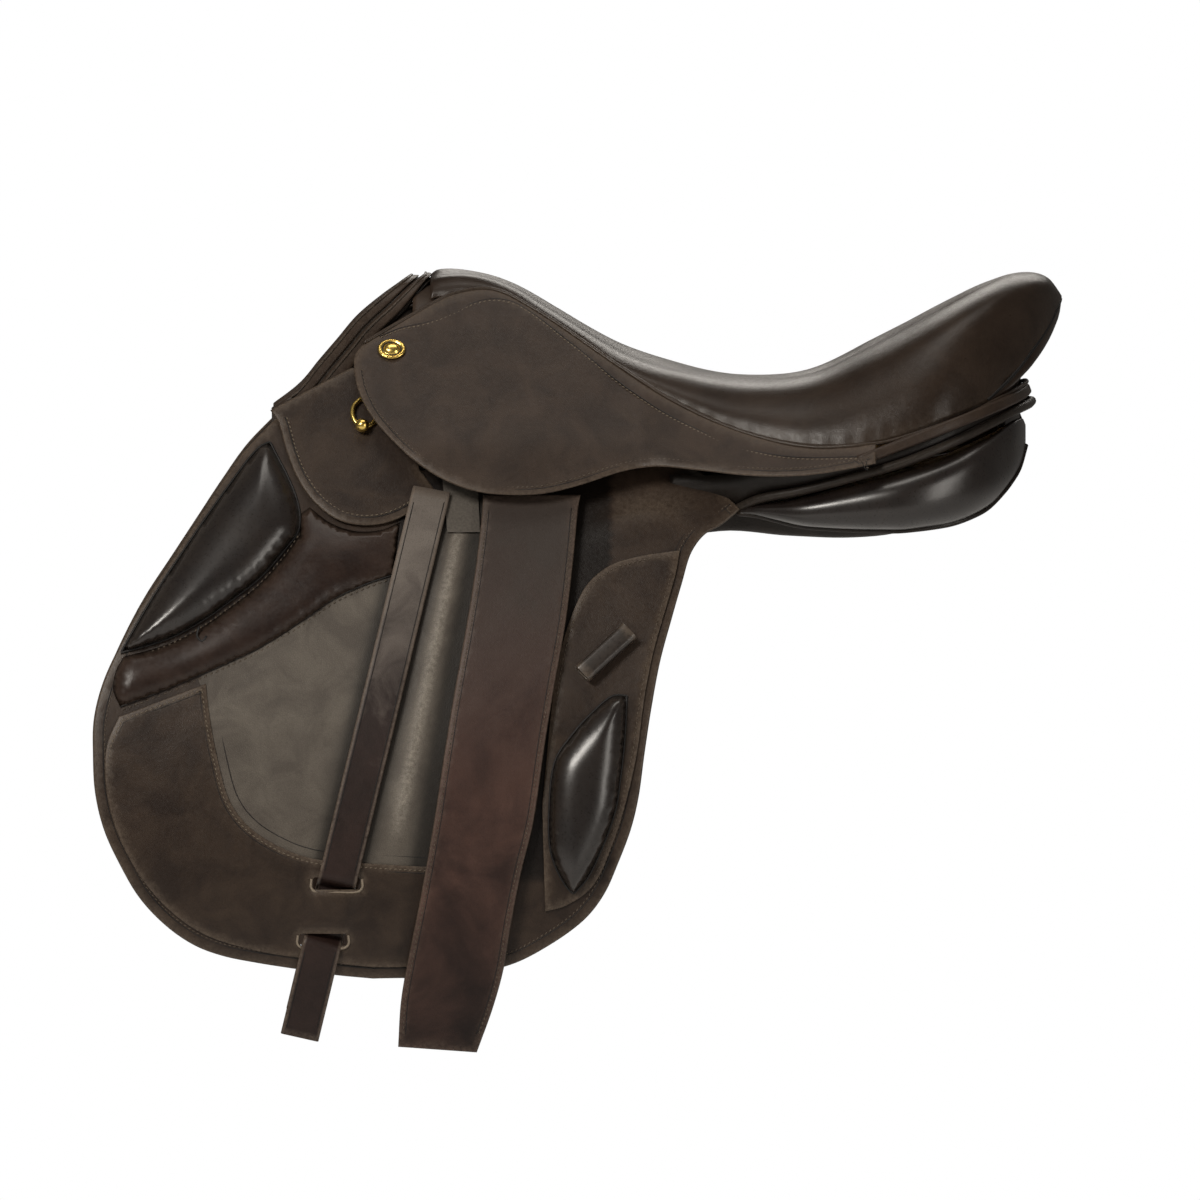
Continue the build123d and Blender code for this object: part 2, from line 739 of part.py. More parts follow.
def make_rear_welt():
    """Round welt between the gussets and the cantle band, right round the back."""
    left = [(x, -w, z) for x, w, z in WELT_LINE]
    right = [(x, w, z) for x, w, z in reversed(WELT_LINE[:-1])]
    path = Spline(*left, *right)
    start = Plane(origin=path @ 0, z_dir=path % 0)
    return sweep(start * Circle(WELT_R), path=path)


LINING_TOP = [(-20, 67), (20, 55), (60, 46), (100, 39), (140, 36.5), (180, 39), (215, 45), (250, 54)]
LINING_HALF = 30.0


def make_gullet_lining():
    """Lining over the channel between the cushions."""
    under = [(x, z - 1.6) for x, z in LINING_TOP]
    slab = prism(LINING_TOP, [LINING_TOP[-1], under[-1]], under[::-1], [under[0], LINING_TOP[0]])
    return both_halves(slab & Pos(100, 0, 50) * Box(400, 2 * LINING_HALF, 100))


BACK_STATIONS = [  # w, then x, z of the foot, the middle and the top of the back's outer face
    (0, (256.5, 56), (256.5, 86), (279.5, 147)),
    (24, (256, 56), (256, 86), (278.5, 137)),
    (44, (254.5, 56), (254.5, 85), (272.5, 126)),
    (70, (250.5, 57), (250.5, 83), (260, 110)),
    (88, (245.5, 58), (245, 81), (250, 97)),
]
BACK_THICK = 2.4


def make_rear_facing():
    """Leather that closes the back of the saddle, from the cushions up to the seat's edge."""
    wires = []
    both_sides = [(-w, *line) for w, *line in BACK_STATIONS[:0:-1]] + BACK_STATIONS
    for w, *line in both_sides:
        outer = [(x, -w, z) for x, z in line]
        inner = [(x - BACK_THICK, -w, z) for x, z in line]
        wires.append(Wire(Polyline(*outer, *reversed(inner), close=True).edges()))
    wall = Solid.make_loft(wires)
    panels = both_halves(make_rear_panel())
    return wall - make_seat_cover() - make_cantle_band() - panels


# ---- Metal fittings ----
BAR_Z = 46.0
BAR_HALF = 7.5
BAR_FRONT_X, BAR_END_X = -146.0, -90.0
BAR_LEG = 10.0
BAR_OFFSETS = (11.5, 17.1)
CATCH_X = -95.0
CATCH_LAYER = (14.3, 16.9)
CATCH_R = 2.0
CATCH_HALF = 5.2
CATCH_LENGTH = 16.0
BAR_PLATE = (-3.0, -0.6)


def box_outline(x0, x1, z0, z1):
    return polygon((x0, z0), (x1, z0), (x1, z1), (x0, z1))


def make_stirrup_bar():
    """Forged bar that the stirrup leather hangs on, open at the back."""
    low, high = BAR_Z - BAR_HALF, BAR_Z + BAR_HALF
    plate = layer(BAR_PLATE, *box_outline(BAR_FRONT_X, -112, low - 2, high + 2))
    leg = layer((BAR_PLATE[0], BAR_OFFSETS[1]), *box_outline(BAR_FRONT_X, BAR_FRONT_X + BAR_LEG, low, high))
    bar = layer(BAR_OFFSETS, *box_outline(BAR_FRONT_X, -102, low, high))
    tongue = layer((BAR_OFFSETS[0], CATCH_LAYER[0] - FIT_GAP), *box_outline(-102.5, BAR_END_X, low + 2, high - 2))
    return plate + leg + bar + tongue - slope_pin(catch_plane(), -9, 9, CATCH_R)


def catch_plane():
    """Plane of the catch, through the middle of its pin."""
    return slope_plane(CATCH_X, BAR_Z, (CATCH_LAYER[0] + CATCH_LAYER[1]) / 2)


def make_catch_pin():
    """Pin that the bar's thumb catch turns on."""
    return slope_pin(catch_plane(), -4.0, 1.6, CATCH_R)


def make_catch():
    """Thumb catch at the back end of the bar, in line when open and turned up to lock."""
    thick = CATCH_LAYER[1] - CATCH_LAYER[0]
    blade = Pos(CATCH_LENGTH / 2, 0, 0) * Box(CATCH_LENGTH, 2 * CATCH_HALF, thick)
    knuckle = Cylinder(CATCH_HALF, thick)
    tip = Pos(CATCH_LENGTH, 0, 0) * Cylinder(CATCH_HALF, thick)
    return catch_plane() * (blade + knuckle + tip - Cylinder(CATCH_R + FIT_GAP, 9))


def make_skirt_nail():
    """Headed brass nail through the front corner of the skirt."""
    head = Pos(0, 0, SKIRT_THICK + 1.3) * Cylinder(NAIL_HEAD_R, 2.2)
    crown = Pos(0, 0, SKIRT_THICK + 2.9) * Cylinder(NAIL_HEAD_R - 3.4, 1.2)
    return nail_plane() * (head + crown) + nail_bar(NAIL_R)


def make_dee_stud():
    """Headed brass stud that the dee ring hangs on."""
    plane = slope_plane(*DEE_PIVOT, DEE_OFFSET)
    head = DEE_WIRE + FIT_GAP
    shank = slope_pin(plane, -12.8, head + 0.1, DEE_STUD_R)
    collar = slope_pin(plane, -2.3, -head, DEE_STUD_R + 1.0)
    return shank + collar + slope_pin(plane, head, head + 0.7, DEE_STUD_R + 1.0)


def make_dee_ring():
    """Dee ring with an eye at its top and a bead at its foot."""
    outer, inner = DEE_R + DEE_WIRE, DEE_R - DEE_WIRE
    wire = Cylinder(outer, 2 * DEE_WIRE) - Cylinder(inner, 9)
    wire = chamfer(wire.edges().filter_by(GeomType.CIRCLE), 0.9)
    wire = Pos(-1, -4 - DEE_R, 0) * wire
    bead = chamfer(Cylinder(4.7, 8.6).edges().filter_by(GeomType.CIRCLE), 1.6)
    bead = Pos(-1 - DEE_R * 0.5, -4 - DEE_R * 1.87, 2.4) * bead
    ring = wire + Cylinder(5.0, 2 * DEE_WIRE - 0.6) - Cylinder(DEE_EYE_R, 9)
    return slope_plane(*DEE_PIVOT, DEE_OFFSET) * (ring + bead)


# ---- Parts to write ----
MIDDLE = {
    "tree_head": make_tree_head,
    "head_plate": make_head_plate,
    "gullet_plate": make_gullet_plate,
    "tree_cantle": make_tree_cantle,
    "seat_webs": make_seat_webs,
    "cross_web": make_cross_web,
    "seat_foam": make_seat_foam,
    "seat_cover": make_seat_cover,
    "cantle_band": make_cantle_band,
    "front_facing": make_front_facing,
    "pommel_binding": make_pommel_binding,
    "rear_welt": make_rear_welt,
    "rear_facing": make_rear_facing,
    "gullet_lining": make_gullet_lining,
}
PAIRS = {
    "tree_rail": make_tree_rail,
    "skirt_top": make_skirt_top,
    "skirt": make_skirt,
    "under_skirt": make_under_skirt,
    "flap": make_flap,
    "knee_patch": make_knee_patch,
    "calf_patch": make_calf_patch,
    "knee_block": make_knee_block,
    "knee_roll": make_knee_roll,
    "thigh_block": make_thigh_block,
    "front_strap": make_front_strap,
    "front_strap_tail": make_front_strap_tail,
    "rear_strap": make_rear_strap,
    "guard": make_guard,
    "front_panel": make_front_panel,
    "rear_panel": make_rear_panel,
    "rear_gusset": make_rear_gusset,
    "stirrup_bar": make_stirrup_bar,
    "bar_catch": make_catch,
    "dee_ring": make_dee_ring,
}
SHARED = {
    "spring_strips": make_spring_strip,
    "keepers": make_keeper,
    "girth_webs": make_girth_webs,
    "skirt_nails": make_skirt_nail,
    "dee_studs": make_dee_stud,
    "catch_pins": make_catch_pin,
}


def main():
    os.makedirs("parts", exist_ok=True)
    for name, make in MIDDLE.items():
        export_step(make(), f"parts/{name}.step")
    for name, make in PAIRS.items():
        left = make()
        export_step(left, f"parts/{name}_left.step")
        export_step(mirror(left, about=Plane.XZ), f"parts/{name}_right.step")
    for name, make in SHARED.items():
        left = make()
        right = mirror(left, about=Plane.XZ)
        export_step(Compound(children=[*left.solids(), *right.solids()]), f"parts/{name}.step")


main()
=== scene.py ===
import math

import bmesh
import bpy
import numpy as np
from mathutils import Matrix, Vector
from mathutils.geometry import delaunay_2d_cdt


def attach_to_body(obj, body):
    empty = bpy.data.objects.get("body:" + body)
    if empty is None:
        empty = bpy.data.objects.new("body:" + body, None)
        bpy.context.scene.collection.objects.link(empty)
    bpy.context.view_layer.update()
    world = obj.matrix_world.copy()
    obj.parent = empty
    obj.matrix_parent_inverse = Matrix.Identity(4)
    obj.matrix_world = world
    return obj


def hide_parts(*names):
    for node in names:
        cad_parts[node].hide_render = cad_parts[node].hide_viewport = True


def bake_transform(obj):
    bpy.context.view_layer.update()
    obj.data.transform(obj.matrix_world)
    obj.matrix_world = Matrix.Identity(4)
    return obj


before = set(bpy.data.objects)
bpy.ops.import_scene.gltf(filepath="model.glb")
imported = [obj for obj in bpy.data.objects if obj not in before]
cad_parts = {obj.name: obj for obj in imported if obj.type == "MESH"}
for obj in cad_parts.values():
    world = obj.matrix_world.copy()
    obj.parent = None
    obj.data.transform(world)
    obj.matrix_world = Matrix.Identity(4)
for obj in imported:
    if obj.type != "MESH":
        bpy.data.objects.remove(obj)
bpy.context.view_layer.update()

# Lengths are in millimetres in the shape code and turned to metres when a mesh is made.
# w is the distance from the centre plane; a side is -1 for left (at -Y) or 1 for right.
SIDES = (("left", -1), ("right", 1))

# The base arch across the saddle: a pommel arc, a straight slope, and a long arc over the ribs.
SLOPE = math.radians(30)
POMMEL_R, RIB_R, RIB_Z, HALF_WIDTH = 56.0, 460.0, -230.0, 185.0
RIB_W = HALF_WIDTH - RIB_R
POMMEL_Z = (RIB_W * math.cos(SLOPE) + RIB_Z * math.sin(SLOPE) + RIB_R - POMMEL_R) / math.sin(SLOPE)
FOOT_W = RIB_W + RIB_R * math.cos(SLOPE)

# The plane of the skirt: its half width at a height, its lean outwards and its flare to the rear.
SKIRT_W, SKIRT_Z, SKIRT_LEAN, SKIRT_FLARE = 49, 140, 0.772, 0.22
SKIRT_RISE = math.hypot(1, SKIRT_LEAN)

# Heights of leather above its surface, and sizes that several pieces share.
SKIRT_FACE = FLAP_FACE = 4.0
PATCH_LOW, PATCH_FACE = 4.05, 5.7
PANEL_BACK = -5.0
SLOTS = (-243.0, -281.0)
SKIN = 2.2
STRAP_WIDTH = 26.0

# Stage, in metres.
CAMERA_DISTANCE, CAMERA_ELEVATION, FRAME_WIDTH = 20.0, math.radians(1.9), 0.810
CAMERA_TARGET = Vector((-0.027, -0.13, -0.054))
SENSOR = 36.0
FLOOR_Z, FLOOR_RADIUS, FLOOR_GLOW = -0.75, 4.2, 0.62
WARM = (1.0, 0.95, 0.88)
ROOM_LIGHT = 0.09


# ---- Camera ----
def make_camera():
    """Long lens at the photograph's side view: the frame is 810 mm wide at the near flap."""
    data = bpy.data.cameras.new("camera")
    data.sensor_width = SENSOR
    data.lens = SENSOR * CAMERA_DISTANCE / FRAME_WIDTH
    data.clip_end = 80
    camera = bpy.data.objects.new("camera", data)
    back = Vector((0, -math.cos(CAMERA_ELEVATION), math.sin(CAMERA_ELEVATION)))
    camera.location = CAMERA_TARGET + back * CAMERA_DISTANCE
    camera.rotation_euler = (math.radians(90) - CAMERA_ELEVATION, 0, 0)
    bpy.context.scene.collection.objects.link(camera)
    bpy.context.scene.camera = camera


make_camera()


# ---- Curves in the side view ----
def spline(points, step=3.0, closed=False):
    """Smooth curve through points, sampled about every step, without its last point if closed."""
    p = np.asarray(points, float)
    n = len(p)
    out = []
    for i in range(n if closed else n - 1):
        if closed:
            a, b, c, d = p[i - 1], p[i], p[(i + 1) % n], p[(i + 2) % n]
        else:
            b, c = p[i], p[i + 1]
            a = p[i - 1] if i else 2 * b - c
            d = p[i + 2] if i + 2 < n else 2 * c - b
        t1, t2, t3 = (max(np.linalg.norm(q), 1e-6) ** 0.5 for q in (b - a, c - b, d - c))
        m1 = (b - a) / t1 - (c - a) / (t1 + t2) + (c - b) / t2
        m2 = (c - b) / t2 - (d - b) / (t2 + t3) + (d - c) / t3
        m1, m2 = m1 * t2, m2 * t2
        k = max(1, int(round(np.linalg.norm(c - b) / step)))
        t = np.linspace(0, 1, k, endpoint=False)[:, None]
        h = 2 * t**3 - 3 * t**2 + 1, t**3 - 2 * t**2 + t, -2 * t**3 + 3 * t**2, t**3 - t**2
        out.append(h[0] * b + h[1] * m1 + h[2] * c + h[3] * m2)
    if not closed:
        out.append(p[-1:])
    return np.concatenate(out)


def area2(p):
    """Twice the area of an outline, above 0 if it is counter-clockwise."""
    return np.sum(p[:, 0] * np.roll(p[:, 1], -1) - np.roll(p[:, 0], -1) * p[:, 1])


def unit(v):
    """Rows of an array scaled to length 1."""
    return v / np.maximum(np.linalg.norm(v, axis=1, keepdims=True), 1e-9)


def outline(*runs, step=3.0):
    """Closed outline from runs: two points are a line, more are a smooth curve. Counter-clockwise."""
    parts = [spline(run, step)[:-1] for run in runs]
    p = np.concatenate(parts)
    return p if area2(p) > 0 else p[::-1]


def inset(poly, d):
    """Closed counter-clockwise outline moved inwards by d."""
    e = unit(np.roll(poly, -1, 0) - poly)
    n = np.stack([-e[:, 1], e[:, 0]], 1)
    m = unit(n + np.roll(n, 1, 0))
    cos = np.clip(np.sum(m * n, axis=1, keepdims=True), 0.6, 1)
    return poly + m * d / cos


def nearest(p, path, closed=True):
    """Distance from each point of p to a path, and how far along the path that is."""
    a = np.asarray(path, float)
    b = np.roll(a, -1, 0) if closed else a[1:]
    a = a if closed else a[:-1]
    ab = b - a
    length = np.linalg.norm(ab, axis=1)
    start = np.concatenate([[0], np.cumsum(length)[:-1]])
    best, along = np.full(len(p), 1e9), np.zeros(len(p))
    for i in range(len(a)):
        t = np.clip(((p - a[i]) @ ab[i]) / max(length[i] ** 2, 1e-9), 0, 1)
        d = np.linalg.norm(p - (a[i] + t[:, None] * ab[i]), axis=1)
        closer = d < best
        best[closer], along[closer] = d[closer], (start[i] + t * length[i])[closer]
    return best, along


def inside(p, poly):
    """Which points are inside a closed outline."""
    x, y = p[:, 0], p[:, 1]
    hit = np.zeros(len(p), bool)
    for (x0, y0), (x1, y1) in zip(poly, np.roll(poly, -1, 0)):
        cross = (y0 > y) != (y1 > y)
        if y0 != y1:
            hit ^= cross & (x < (x1 - x0) * (y - y0) / (y1 - y0) + x0)
    return hit


def ramp(v, low, high):
    """0 below low, 1 above high, smooth between."""
    t = np.clip((np.asarray(v, float) - low) / (high - low), 0, 1)
    return t * t * (3 - 2 * t)


def ripple(p, size, seed=0.0):
    """Soft unevenness from -1 to 1 over a surface, in waves of about size."""
    x, z = p[:, 0] / size, p[:, 1] / size
    a = np.sin(x * 2.1 + 1.3 * np.sin(z * 1.7 + seed)) + np.sin(z * 2.7 + 1.1 * np.sin(x * 1.3 + 2 * seed))
    return (a + 0.6 * np.sin(x * 4.3 - z * 3.1 + 3 * seed)) / 2.6


# ---- Surfaces: (x, z) and an offset give (x, w, z) ----
def arch(p, h):
    """The base arch of the saddle, and the layers outside it."""
    x, z = p[:, 0], p[:, 1]
    h = np.broadcast_to(np.asarray(h, float), x.shape)
    foot = RIB_Z + (RIB_R + h) * math.sin(SLOPE)
    top = POMMEL_Z + (POMMEL_R + h) * math.sin(SLOPE)
    rib = RIB_W + np.sqrt(np.maximum((RIB_R + h) ** 2 - (z - RIB_Z) ** 2, 0))
    slope = FOOT_W - z * math.tan(SLOPE) + h / math.cos(SLOPE)
    pommel = np.sqrt(np.maximum((POMMEL_R + h) ** 2 - (z - POMMEL_Z) ** 2, 0))
    return np.stack([x, np.where(z < foot, rib, np.where(z > top, pommel, slope)), z], 1)


def skirt_plane(p, h):
    """The skirt: flat, flared behind the waist, drawn in a little at its lower edge."""
    x, z = p[:, 0], p[:, 1]
    droop = 5.5 * ramp(-z, -56, -12) * ramp(-x, -60, 20)
    w = SKIRT_W + SKIRT_LEAN * (SKIRT_Z - z) + SKIRT_FLARE * np.maximum(x, 0) + np.asarray(h) * SKIRT_RISE - droop
    return np.stack([x, w, z], 1)


# ---- Meshes ----
def make_mesh(name, side, verts, faces, materials, face_material=None, wear_and_painted_light=None):
    """A mesh from (x, w, z) points on one side; side 0 takes (x, y, z) as it is."""
    v = np.asarray(verts, float).copy()
    if side:
        v[:, 1] *= side
    if side > 0:
        faces = [tuple(reversed(f)) for f in faces]
    mesh = bpy.data.meshes.new(name)
    mesh.from_pydata((v / 1000).tolist(), [], [tuple(int(i) for i in f) for f in faces])
    for m in materials:
        mesh.materials.append(m)
    if face_material is not None:
        mesh.polygons.foreach_set("material_index", np.asarray(face_material, np.int32))
    mesh.shade_smooth()
    # per-point wear of edges; on the flap it also carries painted highlights (above zero) and painted shadow (below
    # zero)
    attribute = mesh.attributes.new("wear_and_painted_light", "FLOAT", "POINT")
    if wear_and_painted_light is not None:
        attribute.data.foreach_set("value", np.asarray(wear_and_painted_light, np.float32))
    mesh.update()
    obj = bpy.data.objects.new(name, mesh)
    bpy.context.scene.collection.objects.link(obj)
    return obj


def fix_normals(obj):
    """Turns all faces of a closed mesh outwards."""
    b = bmesh.new()
    b.from_mesh(obj.data)
    bmesh.ops.recalc_face_normals(b, faces=b.faces)
    b.to_mesh(obj.data)
    b.free()


def centre_piece(name, data, material, nodes=(), wear_and_painted_light=0.0, mend=True):
    """One piece across the centre plane, from (verts, faces) in (x, y, z)."""
    verts, faces = data
    wear_and_painted_light = np.broadcast_to(np.asarray(wear_and_painted_light, float), (len(verts),))
    obj = make_mesh(name, 0, verts, faces, [material], None, wear_and_painted_light)
    if mend:
        fix_normals(obj)
    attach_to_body(obj, "saddle")
    if nodes:
        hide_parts(*nodes)
    return obj


def merged(parts):
    """One mesh from several (verts, faces)."""
    verts, faces, start = [], [], 0
    for v, f in parts:
        verts.append(v)
        faces += [tuple(i + start for i in q) for q in f]
        start += len(v)
    return np.concatenate(verts), faces


def fill_outline(poly, holes, grid):
    """Triangles that fill an outline round its holes, with a loose grid of points inside.
    The loops keep their order at the head of the points."""
    margin = grid * 0.55
    low, high = poly.min(0), poly.max(0)
    xs = np.arange(low[0], high[0] + grid, grid)
    zs = np.arange(low[1], high[1] + grid, grid * 0.866)
    g = np.array([(x + (j % 2) * grid / 2, z) for j, z in enumerate(zs) for x in xs])
    g = g[inside(g, poly)]
    ok = nearest(g, poly)[0] > margin
    for hole in holes:
        ok &= ~inside(g, hole)
        ok &= nearest(g, hole)[0] > margin
    g = g[ok]
    loops = [poly, *holes]
    points = np.concatenate([*loops, g])
    edges, start = [], 0
    for loop in loops:
        n = len(loop)
        edges += [(start + i, start + (i + 1) % n) for i in range(n)]
        start += n
    got = delaunay_2d_cdt([Vector(q) for q in points], edges, [], 1, 1e-4)
    out, faces = np.array([tuple(q) for q in got[0]]), []
    if len(points) != len(out):
        raise RuntimeError("an outline crosses itself")
    centres = np.array([out[list(f)].mean(0) for f in got[2]])
    keep_face = inside(centres, poly)
    for hole in holes:
        keep_face &= ~inside(centres, hole)
    for f, k in zip(got[2], keep_face):
        if k:
            a, b, c = (out[i] for i in f[:3])
            turn = (b[0] - a[0]) * (c[1] - a[1]) - (b[1] - a[1]) * (c[0] - a[0])
            faces.append(tuple(f) if turn > 0 else tuple(reversed(f)))
    return out, faces


def sheet_data(poly, surface, low, high, holes=(), edge=1.2, grid=6.0, puff=None, bulge=None):
    """Points, faces, face material numbers and wear of a slab with rounded edges.
    puff(p) is added to the outer face, bulge(p) to both faces. Face material 1 is the cut edge."""
    r = min(edge, 0.45 * (high - low))
    steps = [(r, high), (0.3 * r, high - 0.3 * r), (0, high - r), (0, low + r), (0.3 * r, low + 0.3 * r), (r, low)]
    loops = [poly] + [h if area2(h) < 0 else h[::-1] for h in holes]
    inner = [inset(q, r) for q in loops]
    flat, faces = fill_outline(inner[0], inner[1:], grid)
    count = len(flat)

    def raised(p, h, share):
        h = np.full(len(p), float(h))
        if bulge is not None:
            h = h + bulge(p)
        if puff is not None and share:
            h = h + share * puff(p)
        return surface(p, h)

    verts = [raised(flat, high, 1.0), raised(flat, low, 0.0)]
    from_edge = np.min([nearest(flat, loop)[0] for loop in loops], axis=0)
    wear_and_painted_light = [np.exp(-from_edge / 2.2), np.zeros(count)]
    out_faces = [tuple(f) for f in faces]
    out_faces += [tuple(i + count for i in reversed(f)) for f in faces]
    material = [0] * len(out_faces)
    start = 2 * count
    first = 0
    for loop in loops:
        n = len(loop)
        rings = [first + np.arange(n)]
        for inward, height in steps[1:5]:
            p = inset(loop, inward)
            share = 1.0 if height > (low + high) / 2 else 0.0
            verts.append(raised(p, height, share))
            wear_and_painted_light.append(np.full(n, 1.0))
            rings.append(start + np.arange(n))
            start += n
        rings.append(count + first + np.arange(n))
        for k, (a, b) in enumerate(zip(rings, rings[1:])):
            for i in range(n):
                j = (i + 1) % n
                out_faces.append((a[i], b[i], b[j], a[j]))
                material.append(1 if 1 <= k <= 3 else 0)
        first += n
    return np.concatenate(verts), out_faces, material, np.concatenate(wear_and_painted_light)


def tube_data(path, radius, sides=8, cap=True):
    """A round tube along 3-D points."""
    p = np.asarray(path, float)
    t = unit(np.gradient(p, axis=0))
    ref = np.array([0.0, 0.0, 1.0]) if abs(t[0][2]) < 0.9 else np.array([1.0, 0, 0])
    rings, u = [], np.cross(t[0], ref)
    u /= np.linalg.norm(u)
    r = np.broadcast_to(np.asarray(radius, float), (len(p),))
    for q, d, rr in zip(p, t, r):
        u = u - d * np.dot(u, d)
        u /= np.linalg.norm(u)
        v = np.cross(d, u)
        a = np.linspace(0, 2 * math.pi, sides, endpoint=False)[:, None]
        rings.append(q + rr * (np.cos(a) * u + np.sin(a) * v))
    verts = np.concatenate(rings)
    faces = []
    for i in range(len(p) - 1):
        for j in range(sides):
            k = (j + 1) % sides
            faces.append((i * sides + j, i * sides + k, (i + 1) * sides + k, (i + 1) * sides + j))
    if cap:
        faces.append(tuple(reversed(range(sides))))
        faces.append(tuple((len(p) - 1) * sides + j for j in range(sides)))
    return verts, faces


def lengths(p):
    """How far along a line each of its points is."""
    return np.concatenate([[0], np.cumsum(np.linalg.norm(np.diff(p, axis=0), axis=1))])


def points_at(at, d, p):
    """Points of a line at lengths along it."""
    return np.stack([np.interp(at, d, p[:, k]) for k in range(p.shape[1])], 1)


def resample(path, step):
    """Points at equal steps along a 3-D or 2-D line."""
    p = np.asarray(path, float)
    d = lengths(p)
    return points_at(np.linspace(0, d[-1], max(2, int(round(d[-1] / step)) + 1)), d, p)


def stitches_data(path3, normals, step=3.3, length=2.3, width=0.42, height=0.3):
    """A row of short raised stitches along a 3-D line, with the outward direction at each point."""
    p = np.asarray(path3, float)
    d = lengths(p)
    n = max(2, int(d[-1] / step))
    at = (np.arange(n) + 0.5) * d[-1] / n
    centre, up = points_at(at, d, p), points_at(at, d, normals)
    t = unit(points_at(np.minimum(at + 0.5, d[-1]), d, p) - points_at(np.maximum(at - 0.5, 0), d, p))
    up = unit(up - t * np.sum(up * t, axis=1, keepdims=True))
    across = np.cross(t, up)
    t = t * 0.97 + across * 0.18  # the slant of a saddler's stitch
    verts, faces = [], []
    shape = [(-0.5, 0, -0.4)] + [
        (s * 0.5 * c, w, h) for s, c in ((-1, 0.55), (1, 0.55)) for w, h in ((-1, 0), (0, 1), (1, 0), (0, -1))
    ] + [(0.5, 0, -0.4)]
    quads = [(1, 5, 6, 2), (2, 6, 7, 3), (3, 7, 8, 4), (4, 8, 5, 1)]
    tris = [(0, 1, 2), (0, 2, 3), (0, 3, 4), (0, 4, 1), (9, 6, 5), (9, 7, 6), (9, 8, 7), (9, 5, 8)]
    for i in range(n):
        base = i * 10
        for a, b, c in shape:
            verts.append(centre[i] + t[i] * a * length + across[i] * b * width + up[i] * c * height)
        faces += [tuple(base + k for k in f) for f in quads + tris]
    return np.array(verts), faces


def surface_normals(surface, p, h):
    """Outward directions of a surface at (x, z) points, as (x, w, z)."""
    e = 0.5
    dx = surface(p + [e, 0], h) - surface(p - [e, 0], h)
    dz = surface(p + [0, e], h) - surface(p - [0, e], h)
    n = unit(np.cross(dz, dx))
    return np.where(n[:, 1:2] < 0, -n, n)


# ---- Materials ----
def principled(name):
    """A new material, its nodes and links, and its shader."""
    m = bpy.data.materials.new(name)
    m.use_nodes = True
    nodes = m.node_tree.nodes
    return m, nodes, m.node_tree.links, nodes["Principled BSDF"]


def srgb(r, g, b):
    """Linear colour from 0 to 255 values."""
    def one(v):
        v /= 255
        return v / 12.92 if v <= 0.04045 else ((v + 0.055) / 1.055) ** 2.4
    return (one(r), one(g), one(b), 1.0)


